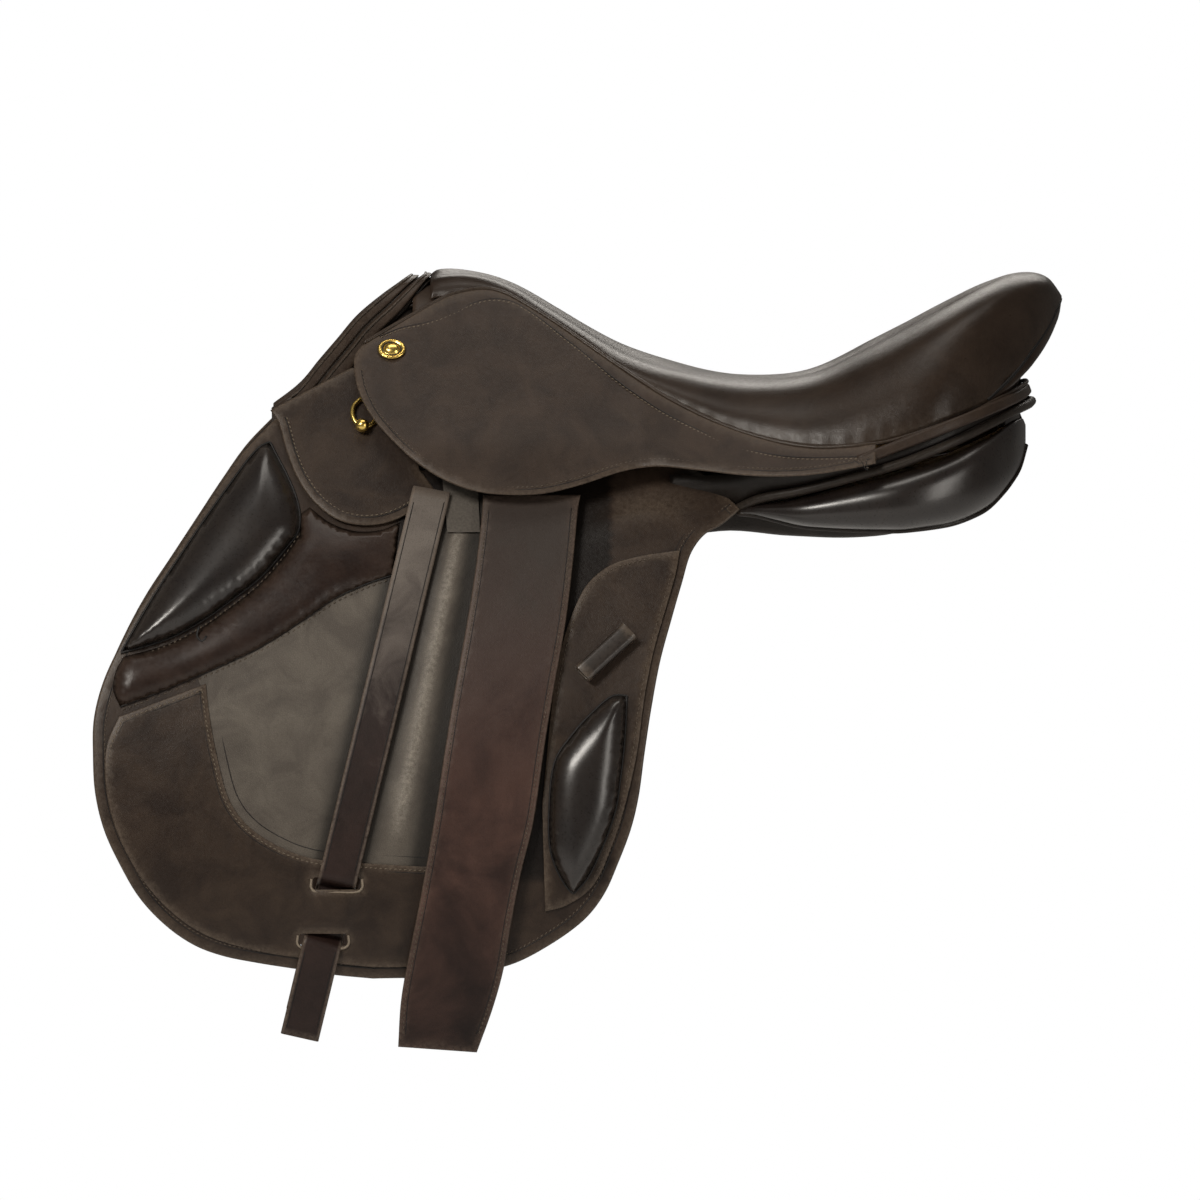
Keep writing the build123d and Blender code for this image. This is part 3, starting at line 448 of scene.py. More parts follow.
def leather(name, dark, light, worn_and_highlight, rough=0.42, grain=1.0, bump=0.35, crease=0.25, patch=30.0, shade=(), coat=0.0):
    """Grained leather: two tones that drift over the hide, tones by height (a painted highlight at the strap's top),
    paler worn edges and painted highlights, painted shadow where the wear is below zero, pores and fine creases.
    """
    m, nodes, links, shader = principled(name)
    place_at = nodes.new("ShaderNodeTexCoord")
    scale = nodes.new("ShaderNodeVectorMath")
    scale.operation = "SCALE"
    scale.inputs["Scale"].default_value = 1000.0
    links.new(place_at.outputs["Object"], scale.inputs[0])

    def noise(size, detail=3.0, roughness=0.5, distortion=0.0):
        n = nodes.new("ShaderNodeTexNoise")
        n.inputs["Scale"].default_value = 1.0 / size
        n.inputs["Detail"].default_value = detail
        n.inputs["Roughness"].default_value = roughness
        n.inputs["Distortion"].default_value = distortion
        links.new(scale.outputs[0], n.inputs["Vector"])
        return n

    def remap(value, a, b, c, d):
        n = nodes.new("ShaderNodeMapRange")
        n.inputs["From Min"].default_value, n.inputs["From Max"].default_value = a, b
        n.inputs["To Min"].default_value, n.inputs["To Max"].default_value = c, d
        links.new(value, n.inputs["Value"])
        return n.outputs["Result"]

    def mix(factor, a, b):
        n = nodes.new("ShaderNodeMix")
        n.data_type = "RGBA"
        links.new(factor, n.inputs["Factor"])
        for socket, value in (("A", a), ("B", b)):
            target = [s for s in n.inputs if s.name == socket and s.type == "RGBA"][0]
            if isinstance(value, tuple):
                target.default_value = value
            else:
                links.new(value, target)
        return [s for s in n.outputs if s.type == "RGBA"][0]

    hide = noise(patch, 4.0, 0.6, 0.6)
    colour = mix(remap(hide.outputs["Fac"], 0.36, 0.66, 0.0, 1.0), dark, light)
    for tone, low, high in shade:
        # towards another tone between two heights: a painted highlight at the top of the girth straps, and on the guard
        # a greyer tone towards its top and a dark one towards its bottom
        height = nodes.new("ShaderNodeSeparateXYZ")
        links.new(place_at.outputs["Object"], height.inputs[0])
        drift = remap(hide.outputs["Fac"], 0.3, 0.7, -0.04, 0.04)
        total = nodes.new("ShaderNodeMath")
        links.new(height.outputs["Z"], total.inputs[0])
        links.new(drift, total.inputs[1])
        colour = mix(remap(total.outputs[0], low, high, 0.0, 1.0), colour, tone)
    fine = noise(2.6, 5.0, 0.7)
    wear_and_painted_light = nodes.new("ShaderNodeAttribute")
    wear_and_painted_light.attribute_name = "wear_and_painted_light"
    # towards the pale worn colour where the wear is above zero: worn edges, and on the flap painted highlights on its
    # ridge and its fullness
    rubbed_and_highlit = nodes.new("ShaderNodeMath")
    rubbed_and_highlit.operation = "MULTIPLY"
    links.new(wear_and_painted_light.outputs["Fac"], rubbed_and_highlit.inputs[0])
    links.new(remap(fine.outputs["Fac"], 0.3, 0.65, 0.15, 0.8), rubbed_and_highlit.inputs[1])
    colour = mix(rubbed_and_highlit.outputs[0], colour, worn_and_highlight)
    # wear below zero: painted shadow, darkening the flap beside the front strap and the guard where they cast their
    # shadows
    painted_shadow = remap(wear_and_painted_light.outputs["Fac"], -1.0, 0.0, 1.0, 0.0)
    colour = mix(painted_shadow, colour, tuple(c * 0.16 for c in dark[:3]) + (1.0,))
    pores = nodes.new("ShaderNodeTexVoronoi")
    pores.feature = "DISTANCE_TO_EDGE"
    pores.inputs["Scale"].default_value = 1.0 / grain
    links.new(scale.outputs[0], pores.inputs["Vector"])
    pore_dark = remap(pores.outputs["Distance"], 0.0, 0.12, 0.35, 0.0)
    colour = mix(pore_dark, colour, tuple(c * 0.45 for c in dark[:3]) + (1.0,))
    links.new(colour, shader.inputs["Base Color"])
    links.new(remap(fine.outputs["Fac"], 0.3, 0.7, rough - 0.07, rough + 0.09), shader.inputs["Roughness"])
    shader.inputs["Specular IOR Level"].default_value = 0.3
    shader.inputs["Coat Weight"].default_value = coat
    shader.inputs["Coat Roughness"].default_value = 0.3
    first = nodes.new("ShaderNodeBump")
    first.inputs["Strength"].default_value = crease
    first.inputs["Distance"].default_value = 0.0006
    links.new(noise(9.0, 1.5 if coat else 5.0, 0.62, 0.8).outputs["Fac"], first.inputs["Height"])
    second = nodes.new("ShaderNodeBump")
    second.inputs["Strength"].default_value = bump
    second.inputs["Distance"].default_value = 0.00012
    links.new(remap(pores.outputs["Distance"], 0.0, 0.35, 0.0, 1.0), second.inputs["Height"])
    links.new(first.outputs["Normal"], second.inputs["Normal"])
    links.new(second.outputs["Normal"], shader.inputs["Normal"])
    return m


def plain(name, colour, rough, metallic=0.0, speckle=0.15, size=3.0, bump=0.2):
    """Metal, thread, wood or webbing: one colour that drifts, with a fine bump."""
    m, nodes, links, shader = principled(name)
    place_at = nodes.new("ShaderNodeTexCoord")
    n = nodes.new("ShaderNodeTexNoise")
    n.inputs["Scale"].default_value = 1000.0 / size
    n.inputs["Detail"].default_value = 4.0
    links.new(place_at.outputs["Object"], n.inputs["Vector"])
    r = nodes.new("ShaderNodeValToRGB")
    r.color_ramp.elements[0].position, r.color_ramp.elements[1].position = 0.3, 0.7
    r.color_ramp.elements[0].color = tuple(c * (1 - speckle) for c in colour[:3]) + (1,)
    r.color_ramp.elements[1].color = tuple(min(1, c * (1 + speckle)) for c in colour[:3]) + (1,)
    links.new(n.outputs["Fac"], r.inputs["Fac"])
    links.new(r.outputs["Color"], shader.inputs["Base Color"])
    shader.inputs["Metallic"].default_value = metallic
    shader.inputs["Roughness"].default_value = rough
    b = nodes.new("ShaderNodeBump")
    b.inputs["Strength"].default_value = bump
    b.inputs["Distance"].default_value = 0.0002
    links.new(n.outputs["Fac"], b.inputs["Height"])
    links.new(b.outputs["Normal"], shader.inputs["Normal"])
    return m


# pale colour of worn edges, which on the flap also gives its painted highlights
WORN_AND_HIGHLIGHT = srgb(114, 100, 86)
SEAT = leather("seat_leather", srgb(42, 32, 25), srgb(54, 43, 35), WORN_AND_HIGHLIGHT, rough=0.34, grain=0.9, bump=0.25)
SKIRT = leather("skirt_leather", srgb(46, 35, 28), srgb(62, 49, 40), WORN_AND_HIGHLIGHT, rough=0.42, grain=0.9)
FLAP = leather("flap_leather", srgb(42, 32, 26), srgb(60, 48, 39), WORN_AND_HIGHLIGHT, rough=0.38, grain=1.0)
# the calf's pale third colour serves its worn edges and the painted highlight along the flap's ridge
CALF = leather("calf_leather", srgb(82, 75, 68), srgb(104, 97, 88), srgb(168, 160, 148), rough=0.52, grain=1.3,
    bump=0.6)
BLOCK = leather("block_leather", srgb(25, 19, 17), srgb(36, 29, 25), WORN_AND_HIGHLIGHT, rough=0.3, grain=0.9, bump=0.0,
    crease=0.12, coat=1.0)
# the strap's pale tone at its top is a painted highlight
STRAP = leather("strap_leather", srgb(34, 23, 20), srgb(48, 34, 30), srgb(124, 110, 98), rough=0.44, grain=0.8,
    shade=[(srgb(112, 104, 97), -0.13, 0.0)])
GUARD = leather("guard_leather", srgb(54, 36, 31), srgb(82, 58, 50), srgb(118, 100, 88), rough=0.46, grain=0.8,
    patch=55, shade=[(srgb(56, 48, 43), -0.16, -0.01), (srgb(22, 10, 7), -0.22, -0.36)])
PANEL = leather("panel_leather", srgb(32, 28, 25), srgb(44, 38, 34), WORN_AND_HIGHLIGHT, rough=0.40, grain=0.9)
EDGE = leather("edge_leather", srgb(30, 24, 21), srgb(44, 37, 32), srgb(96, 84, 73), rough=0.33, grain=1.6, bump=0.1)
CREASE = plain("crease", srgb(14, 11, 10), 0.6)
THREAD = plain("thread", srgb(112, 100, 84), 0.6, speckle=0.25, size=0.6)
DARK_THREAD = plain("dark_thread", srgb(86, 75, 63), 0.6, speckle=0.25, size=0.6)
BRASS = plain("brass", srgb(255, 214, 120), 0.26, metallic=1.0, speckle=0.12, size=4.0, bump=0.08)
STEEL = plain("steel", srgb(150, 150, 152), 0.35, metallic=1.0, speckle=0.15, size=5.0)
WOOD = plain("wood", srgb(176, 138, 92), 0.5, speckle=0.25, size=6.0)
WEB = plain("web", srgb(120, 104, 80), 0.85, speckle=0.3, size=1.2, bump=0.6)
# pale colour of the slots' lips is a painted highlight
LIP_HIGHLIGHT = leather("slot_lip_highlight", srgb(120, 108, 94), srgb(142, 128, 112), srgb(150, 138, 122), rough=0.5, grain=0.8)
ROLL = leather("roll_leather", srgb(38, 27, 23), srgb(54, 41, 35), WORN_AND_HIGHLIGHT, rough=0.34, grain=0.9, bump=0.15)
TAB = plain("tab", srgb(84, 78, 71), 0.7, speckle=0.2, size=1.5, bump=0.5)
FOAM = plain("foam", srgb(196, 186, 150), 0.95, speckle=0.12, size=1.6, bump=0.7)


# ---- Making pieces on both sides ----
def attach(obj, tag, body, bend, nodes):
    """Puts a piece on its body, or, when a bend is given, bakes its transform and leaves it on no body."""
    names = [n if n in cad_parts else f"{n}_{tag}" for n in nodes]
    if bend:
        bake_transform(obj)
    else:
        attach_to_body(obj, body.format(tag))
    if names:
        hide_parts(*names)
    return obj


def both_sides(name, data, materials, slot, body="saddle", bend=None, nodes=()):
    """A left piece and its mirror image from (verts, faces, face materials, wear and painted light)."""
    verts, faces, material, wear_and_painted_light = (*data, None, None)[:4]
    made = []
    for tag, side in SIDES:
        obj = make_mesh(f"{name}_{tag}", side, verts, faces, materials, material, wear_and_painted_light)
        made.append(attach(obj, tag, body, bend, nodes))
    return made


def leather_piece(name, runs, surface, low, high, materials, slot, step=3.0, **options):
    """A piece cut from leather and laid on a surface."""
    keep = {k: options.pop(k) for k in ("body", "bend", "nodes") if k in options}
    return both_sides(name, sheet_data(outline(*runs, step=step), surface, low, high, **options), materials, slot,
        **keep)


def crease_line(name, path, surface, h, radius=0.32, slot="flap_leather", **keep):
    """A line pressed into the leather: a fine dark cord let into the surface."""
    p = resample(path, 2.5)
    height = h(p) if callable(h) else h
    return both_sides(name, tube_data(surface(p, height), radius, 6), [CREASE], slot, **keep)


def stitch_row(name, path, surface, h, slot="flap_leather", thread=None, keep=None, **size):
    """A row of stitches along a line on a surface."""
    p = resample(path, 2.0)
    height = h(p) if callable(h) else h
    data = stitches_data(surface(p, height), surface_normals(surface, p, height), **size)
    return both_sides(name, data, [thread or THREAD], slot, **(keep or {}))


def grid_data(rows, close_rows=False, close_columns=False, cap=False):
    """Faces over a grid of points (rows, columns, 3)."""
    n, m = rows.shape[:2]
    faces = []
    for i in range(n if close_rows else n - 1):
        for j in range(m if close_columns else m - 1):
            a, b = (i + 1) % n, (j + 1) % m
            faces.append((i * m + j, i * m + b, a * m + b, a * m + j))
    if cap:
        faces.append(tuple(reversed(range(m))))
        faces.append(tuple((n - 1) * m + j for j in range(m)))
    return rows.reshape(-1, 3), faces


def through(points, n):
    """n points spaced equally along a smooth curve."""
    c = spline(points, 1.0)
    d = lengths(c)
    return points_at(np.linspace(0, d[-1], n), d, c)


def track(points, x):
    """Smooth value over x through (x, value) points."""
    c = spline(points, 1.5)
    return np.interp(x, c[:, 0], c[:, 1])


def rounded(width, height, r, n, centre=(0.0, 0.0)):
    """A rounded rectangle as a closed section, counter-clockwise."""
    out = []
    for k, (sx, sy) in enumerate(((1, -1), (1, 1), (-1, 1), (-1, -1))):
        for a in np.linspace(-math.pi / 2 + k * math.pi / 2, k * math.pi / 2, n + 1):
            cx, cy = sx * (width / 2 - r), sy * (height / 2 - r)
            out.append((cx + r * math.cos(a) + centre[0], cy + r * math.sin(a) + centre[1]))
    return np.array(out)


def shell(rows, inner):
    """A closed skin from rows of points on its outer face and the same rows on its inner face."""
    return grid_data(np.concatenate([rows, inner[:, ::-1]], axis=1), close_columns=True, cap=True)


# ---- Seat ----
SEAM = [(-187, 118), (-154, 137), (-126, 151), (-100, 154), (-72, 141), (-13, 102), (24, 79), (68, 60), (114, 50),
    (159, 52)]
SEAT_HALF = [(-142, 40), (-105, 42), (-85, 44), (-54, 57), (-13, 78), (24, 100), (68, 125), (114, 142), (159, 149),
    (203, 144), (235, 118), (252, 94), (266, 70), (277, 44), (283, 24), (286.5, 6)]
SEAT_SEAM = [(-142, 147), (-138, 148), (-105, 153), (-85, 148), (-54, 129), (-13, 102), (24, 80), (68, 60), (114, 50),
    (159, 52), (203, 67), (235, 80), (252, 96), (266, 113), (277, 128), (283, 139), (286.5, 145)]
SEAT_SHOULDER = [(-142, 161), (-138, 163), (-121, 165), (-105, 163), (-85, 156), (-54, 138), (-13, 114), (24, 102),
    (68, 95), (114, 98), (159, 118), (203, 141), (235, 157), (252, 163), (266, 164), (277, 160), (283, 153),
    (286.5, 148.5)]
SEAT_CENTRE = [(-142, 163), (-138, 166), (-121, 167.4), (-105, 165), (-85, 158), (-54, 140.5), (-13, 117),
    (24, 103.5), (68, 93), (114, 91), (159, 104), (203, 124), (235, 147), (252, 160.5), (266, 164.5), (277, 161),
    (283, 154), (286.5, 148.5)]


def seat_sections(xs, inset_by, n):
    """Points over the seat from the left seam to the right seam at each x."""
    rows = []
    for x in xs:
        half, seam, shoulder, centre = (float(track(t, x)) for t in (SEAT_HALF, SEAT_SEAM, SEAT_SHOULDER, SEAT_CENTRE))
        rise = shoulder - seam
        left = [(-half, seam), (-half * 0.975, seam + rise * 0.25), (-half * 0.91, seam + rise * 0.52),
            (-half * 0.75, seam + rise * 0.85), (-half * 0.42, shoulder)]
        both = left + [(0, centre)] + [(-w, z) for w, z in left[::-1]]
        c = through(both, n)
        d = unit(np.gradient(c, axis=0))
        c = c - np.stack([-d[:, 1], d[:, 0]], 1) * inset_by
        rows.append(np.stack([np.full(n, x), c[:, 0], c[:, 1]], 1))
    return np.array(rows)


def make_seat():
    """Seat leather over the foam, drawn tight to its seam."""
    xs = np.concatenate([np.linspace(-142, -138, 3), np.arange(-135, 262, 3.6), np.linspace(263, 286.5, 14)])
    outer = seat_sections(xs, 0.0, 97)
    w, x, z = outer[:, :, 1], outer[:, :, 0], outer[:, :, 2]
    flat = np.stack([x.ravel(), w.ravel()], 1)
    soft = (ripple(flat, 62, 0.4) * 0.9 + ripple(flat, 25, 2.1) * 0.25).reshape(x.shape)
    from_seam = np.abs(np.linspace(-1, 1, x.shape[1]))[None, :] * np.ones(x.shape)
    pull = np.sin(x * 2 * math.pi / 13.0 + 2 * np.sin(x / 31)) * ramp(from_seam, 0.90, 0.985) * 0.35
    outer[:, :, 2] += (soft * (1 - ramp(from_seam, 0.9, 1.0)) - 0.9) * ramp(x, -140, -110) * ramp(-x, -284, -262)
    outer[:, :, 1] += np.sign(w) * pull
    # the leather is drawn into a tuck at each corner of the cantle
    for side in (-1, 1):
        d = np.sqrt(((x - 246) / 9) ** 2 + ((w - side * 101) / 11) ** 2 + ((z - 93) / 5) ** 2)
        outer[:, :, 1] -= side * 3.0 * np.exp(-d * d)
    under = seat_sections(xs, SKIN, 97)
    verts = np.concatenate([outer.reshape(-1, 3), under.reshape(-1, 3)])
    n, m = outer.shape[:2]
    _, faces = grid_data(outer)
    count = n * m
    low = [tuple(i + count for i in reversed(f)) for f in faces]
    rim = [i * m for i in range(n)] + [(n - 1) * m + j for j in range(1, m)]
    rim += [i * m + m - 1 for i in range(n - 2, -1, -1)] + [j for j in range(m - 2, 0, -1)]
    walls = [(a, b, b + count, a + count) for a, b in zip(rim, rim[1:] + rim[:1])]
    wear_and_painted_light = np.exp(-((1 - from_seam.ravel()) * 110) / 3.0)
    wear_and_painted_light = np.concatenate([wear_and_painted_light * 0.5, wear_and_painted_light * 0])
    obj = centre_piece("seat_leather", (verts, faces + low + walls), SEAT, ["seat_cover"], wear_and_painted_light)


def make_foam():
    """Moulded foam under the seat leather."""
    xs = np.concatenate([[-136], np.arange(-132, 238, 6), [240]])
    outer = seat_sections(xs, 3.2, 41)
    under = outer.copy()
    depth = np.array([track([(-142, 5), (-85, 9), (-54, 15), (-13, 20), (24, 22), (114, 22), (203, 20), (240, 14)], x)
        for x in xs])
    t = np.linspace(-1, 1, outer.shape[1])
    for i in range(len(xs)):
        side_z, centre = outer[i, 0, 2] + 1, outer[i, outer.shape[1] // 2, 2]
        under[i, :, 2] = np.minimum(outer[i, :, 2] - 0.5, side_z + (centre - depth[i] - side_z) * (1 - t * t))
        under[i, :, 1] = np.linspace(outer[i, 0, 1], outer[i, -1, 1], len(t)) * 0.99
    centre_piece("seat_foam_core", shell(outer, under), FOAM, ["seat_foam"])


BACK_TOP = [(-118, 235, 80.5), (-94, 252, 96), (-70, 266, 113), (-44, 277, 128), (-24, 283, 139), (-7, 286, 145.5)]
BACK_FOOT = [(-118, 236, 78.5), (-95, 247, 82), (-60, 253, 86), (-30, 256, 88), (0, 257, 88.5)]


def round_the_back(half):
    """(w, x, z) points of one half as (x, y, z) points across the whole back."""
    other = half[::-1] if half[-1][0] else half[-2::-1]
    return np.array([(x, w, z) for w, x, z in half + [(-w, x, z) for w, x, z in other]])


def forward(rows, d):
    """The same rows of points moved towards the front."""
    return rows - np.array([d, 0, 0])


def make_back():
    """Leather over the back of the cantle, between the seat's edge and the band."""
    top = round_the_back(BACK_TOP)
    a, b = through(top, 81), through(round_the_back(BACK_FOOT), 81)
    t = np.linspace(0, 1, 15)
    rows = a[:, None] * (1 - t[None, :, None]) + b[:, None] * t[None, :, None]
    swell = 3.0 * np.sin(math.pi * t) + 2.5 * np.sin(2 * math.pi * t)
    rows[:, :, 0] += swell[None, :] * np.minimum(1, np.linalg.norm(a - b, axis=1) / 30)[:, None]
    centre_piece("cantle_back", shell(rows, forward(rows, SKIN)), SEAT, ["rear_facing"])
    cord = tube_data(through(top, 61) + [-0.6, 0, 0], 1.3, 8, False)
    centre_piece("cantle_welt", cord, CREASE)


def make_rear_wall():
    """Lower wall between the cushions, under the band."""
    w = np.linspace(-88, 88, 45)
    x = 256.5 - 11.5 * (np.abs(w) / 88) ** 2.2
    rows = np.array([[(xx, ww, z) for z in np.linspace(50, 88, 8)] for ww, xx in zip(w, x)])
    rows[:, :, 0] += 1.5 * np.sin(np.linspace(0, math.pi, 8))[None, :]
    centre_piece("rear_wall", shell(rows, forward(rows, SKIN)), PANEL)


def seam_line():
    """Where the seat meets the skirts and the band, from the left pommel round the back."""
    front = skirt_plane(spline(SEAM, 3.0), 3.6)
    rear = spline([(159, 152.0, 51.5), (181, 152, 57.5), (203, 147, 65.0), (226, 131, 73.5), (240, 113, 80.5),
        (250, 93, 85), (258, 60, 88.5), (262, 30, 90.3), (263, 0, 90.6)], 3.0)
    half = np.concatenate([front[:-3], rear[2:]])
    half[:, 1] *= -1
    other = half[-2::-1].copy()
    other[:, 1] *= -1
    return spline(resample(np.concatenate([half, other]), 9.0), 3.0)


def make_seat_welt():
    """Piping in the seam between the seat and what lies below it."""
    centre_piece("seat_welt", tube_data(seam_line(), 1.35, 10), SEAT, wear_and_painted_light=0.25, mend=False)


# ---- Skirts ----
FOLD = np.array([(-193.0, 99.0), (0.0, 34.0)])
SKIRT_FREE = [(-193.5, 98.6), (-191, 88), (-183, 71.6), (-169, 55), (-152.6, 40), (-134, 28), (-112, 19.8),
    (-92, 17.3), (-67, 17.8), (-42, 23.2), (-10, 33.2), (11, 36), (36, 34.2), (69, 30.8), (91.5, 30), (114, 31),
    (136, 34.4), (159, 39)]


def fold_bend():
    """Where the skirt bends when it lifts: across the fold line, in the skirt's plane."""
    out = surface_normals(skirt_plane, FOLD.mean(0)[None], 0.0)[0]
    a, b = skirt_plane(FOLD, SKIRT_FACE)
    axis = (b - a) / np.linalg.norm(b - a)
    down = np.cross(axis, out)
    down = down if down[2] < 0 else -down
    down /= np.linalg.norm(down)
    middle = (a + b) / 2
    return "saddle", "skirt_{}", tuple(middle - down * 5), tuple(middle + down * 7)


def make_skirts():
    """Skirt of one sheet, with its stitching and pressed lines."""
    bend = fold_bend()
    runs = [SEAM, [SEAM[-1], SKIRT_FREE[-1]], SKIRT_FREE[::-1], [SKIRT_FREE[0], (-193, 110), SEAM[0]]]

    def soft(p):
        return 0.5 * ripple(p, 48, 1.7)

    made = leather_piece("skirt_leather", runs, skirt_plane, 0.0, SKIRT_FACE, [SKIRT, EDGE], "seat_leather",
        bend=bend, nodes=("skirt_top", "skirt"), grid=5.0, edge=1.5, puff=soft)
    # stitching a little inside the seam and the free edge
    top = [(-176, 121.5), (-162, 127), (-143.5, 131), (-127, 137), (-112, 144), (-98.5, 146.5), (-85, 144),
        (-70, 135), (-53, 122), (-33, 106.5), (-18, 94), (13, 73), (40, 59.5), (62, 50), (85, 44.5), (107, 42),
        (147, 42.5)]
    stitch_row("skirt_seam_stitching", spline(top), skirt_plane, 4.1, "seat_leather", keep={"bend": bend})
    crease_line("skirt_seam_crease", spline(top) + [0, 1.1], skirt_plane, 3.95, 0.35, "seat_leather", bend=bend)
    upper = [[SKIRT_FREE[-1], (100, 80)], [(100, 80), (-160, 128)],
        [(-160, 128), (-187, 118), (-193, 110), SKIRT_FREE[0]]]
    edge = inset(outline(SKIRT_FREE, *upper), 5.5)
    low = edge[nearest(edge, np.array(SKIRT_FREE), False)[0] < 7.5]
    low = low[np.argsort(nearest(low, np.array(SKIRT_FREE), False)[1])]
    stitch_row("skirt_edge_stitching", low, skirt_plane, 4.05, "seat_leather", DARK_THREAD, keep={"bend": bend})
    crease_line("skirt_edge_crease", low + [0, -1.6], skirt_plane, 3.95, 0.3, "seat_leather", bend=bend)


# ---- Cantle band and welts ----
def make_band():
    """Leather band under the seat seam, narrowing round the back of the cantle."""
    tilt = math.radians(21)
    u = through([(-16, 159), (0, 157.5), (48, 151), (80, 127), (95, 98.5), (104, 59), (108, 0)], 60)
    half = np.stack([162 + u[:, 0] * math.cos(tilt), -u[:, 1], 46.4 + u[:, 0] * math.sin(tilt)], 1)
    path = np.concatenate([half, half[-2::-1] * [1, -1, 1]])
    up = np.tile([-math.sin(tilt), 0, math.cos(tilt)], (len(path), 1))
    across = np.cross(unit(np.gradient(path, axis=0)), up)
    section = rounded(5.4, 7.6, 2.2, 5)
    rows = path[:, None, :] + across[:, None, :] * section[None, :, :1] + up[:, None, :] * section[None, :, 1:]
    band = grid_data(rows, close_columns=True, cap=True)
    centre_piece("cantle_band_leather", band, SKIRT, ["cantle_band"], 0.1)


WELT = [(66, 118, 7.5), (80, 130, 14), (108, 143, 20), (142, 152, 29), (175, 154, 38.5), (209, 146, 52),
    (238, 121, 65.5), (254, 89, 73), (263, 45, 76), (266, 0, 77)]


def make_rear_welt():
    """Thick piping under the band."""
    half = spline(WELT, 3.0) * [1, -1, 1]
    welt = tube_data(np.concatenate([half, half[-2::-1] * [1, -1, 1]]), 3.3, 12)
    centre_piece("rear_welt_leather", welt, PANEL, ["rear_welt"], 0.15, mend=False)


make_seat()
make_foam()
make_back()
make_rear_wall()
make_seat_welt()
make_skirts()
make_band()
make_rear_welt()


# ---- Padded pieces ----
def pad_data(poly, surface, low, dome, grid=3.5):
    """A stuffed shape on a flat base: dome(distance from the edge, distance along it, points)."""
    flat, faces = fill_outline(poly, [], grid)
    n, count = len(poly), len(flat)
    d, along = nearest(flat, poly)
    d[:n] = 0
    rise = dome(d, along, flat)
    verts = np.concatenate([surface(flat, low + rise), surface(flat[n:], low)])
    under = np.concatenate([np.arange(n), count + np.arange(count - n)])
    out = [tuple(f) for f in faces] + [tuple(int(under[i]) for i in reversed(f)) for f in faces]
    wear_and_painted_light = np.concatenate([np.exp(-d / 3.0) * 0.4, np.zeros(count - n)])
    return verts, out, [0] * len(out), wear_and_painted_light


def stuffed(height, radius, tucks, spacing, reach, soft, where=None):
    """Height of stuffed leather that is gathered into a seam round its edge."""
    def dome(d, along, p):
        t = np.clip(d / radius, 0, 1)
        h = height * np.sqrt(np.maximum(1 - (1 - t) ** 2, 0))
        h = h * (0.94 + 0.06 * ramp(d, radius, radius * 2))
        wave = np.sin(along * 2 * math.pi / spacing + 2.0 * np.sin(along / 19.0)) + 0.5 * np.sin(along * 2 * math.pi
            / (spacing * 0.61))
        amount = tucks * (where(p) if where else 1.0)
        h = h - amount * np.maximum(wave, -0.2) * np.exp(-((d - 2.5) / reach) ** 2) * np.minimum(d / 1.5, 1)
        return np.maximum(h + soft * ripple(p, 30, 0.7) * np.minimum(d / 8, 1), 0)
    return dome


def edge_run(poly, d, first, last):
    """Part of an outline moved inwards by d, between the points nearest to two places."""
    line = inset(poly, d)
    i, j = (int(np.argmin(np.linalg.norm(line - q, axis=1))) for q in (first, last))
    return line[i:j + 1] if j >= i else np.concatenate([line[i:], line[:j + 1]])


def double_line(name, path, surface, h, thread):
    """A pressed line with a row of stitches beside it."""
    crease_line(f"{name}_crease", path, surface, h - 0.08, 0.33)
    stitch_row(f"{name}_stitching", inset_open(path, 1.2), surface, h + 0.05, thread=thread)


def inset_open(path, d):
    """An open line moved to its left by d."""
    t = unit(np.gradient(path, axis=0))
    return path + np.stack([-t[:, 1], t[:, 0]], 1) * d


# ---- Flap ----
FLAP_FRONT = [(-248, 66), (-268, 45), (-285, 21), (-304, -8), (-321, -34), (-338, -60), (-352, -86), (-362.5, -110),
    (-368, -133), (-368.5, -156), (-367, -182), (-361, -207), (-350, -231), (-337, -253), (-319, -272), (-300, -285),
    (-281.5, -292), (-257, -297), (-231.5, -301), (-206, -305), (-180, -307.5)]
FLAP_REAR = [(-180, -307.5), (-135, -306), (-90, -299), (-63, -286), (-37, -267), (-24, -250), (-15, -230),
    (-6, -206), (-1, -185), (3, -156), (7.4, -127), (13.5, -94.5), (21, -67), (28, -43), (35, -21), (44, -9.5),
    (54, -4), (68, 7)]
FLAP_TOP = [(68, 7), (40, 32), (-10, 58), (-90, 88), (-170, 106), (-212, 91), (-248, 66)]
UNDER_SKIRT_EDGE = [(-250, 73), (-245, 66), (-239, 46), (-231.5, 27.7), (-221, 12.8), (-206, 1), (-190, -3.4),
    (-173, -2.4), (-156, 4.3), (-142, 14.4), (-138, 19.6)]


def strap_x(z):
    """Centre line of the front girth strap."""
    return -143.0 - (10.0 - z) * 0.242


def guard_x(z):
    """Centre line of the rear girth strap."""
    return -73.5 - (8.0 - z) * 0.172


def ridge_x(z):
    """Line of the soft ridge of the flap between the two straps."""
    return -121 + z * 0.205


def slot_hole(z):
    """Outline of a slot that the front strap passes through."""
    return rounded(32, 8, 1.6, 3, (strap_x(z), z))[::-1]


def flap_puff(p):
    """Unevenness of the flap: a soft ridge between the straps, and fullness under the skirt."""
    x, z = p[:, 0], p[:, 1]
    h = 3.0 * np.exp(-((x - ridge_x(z)) / 6.5) ** 2) * ramp(z, -226, -190) * ramp(-z, 8, 40)
    h += 1.6 * np.exp(-((z + 4 - 0.25 * (x + 10)) / 9) ** 2) * ramp(x, -45, -10) * ramp(-x, -60, -30)
    return h + 0.45 * ripple(p, 55, 0.9) + 0.15 * ripple(p, 21, 2.2)


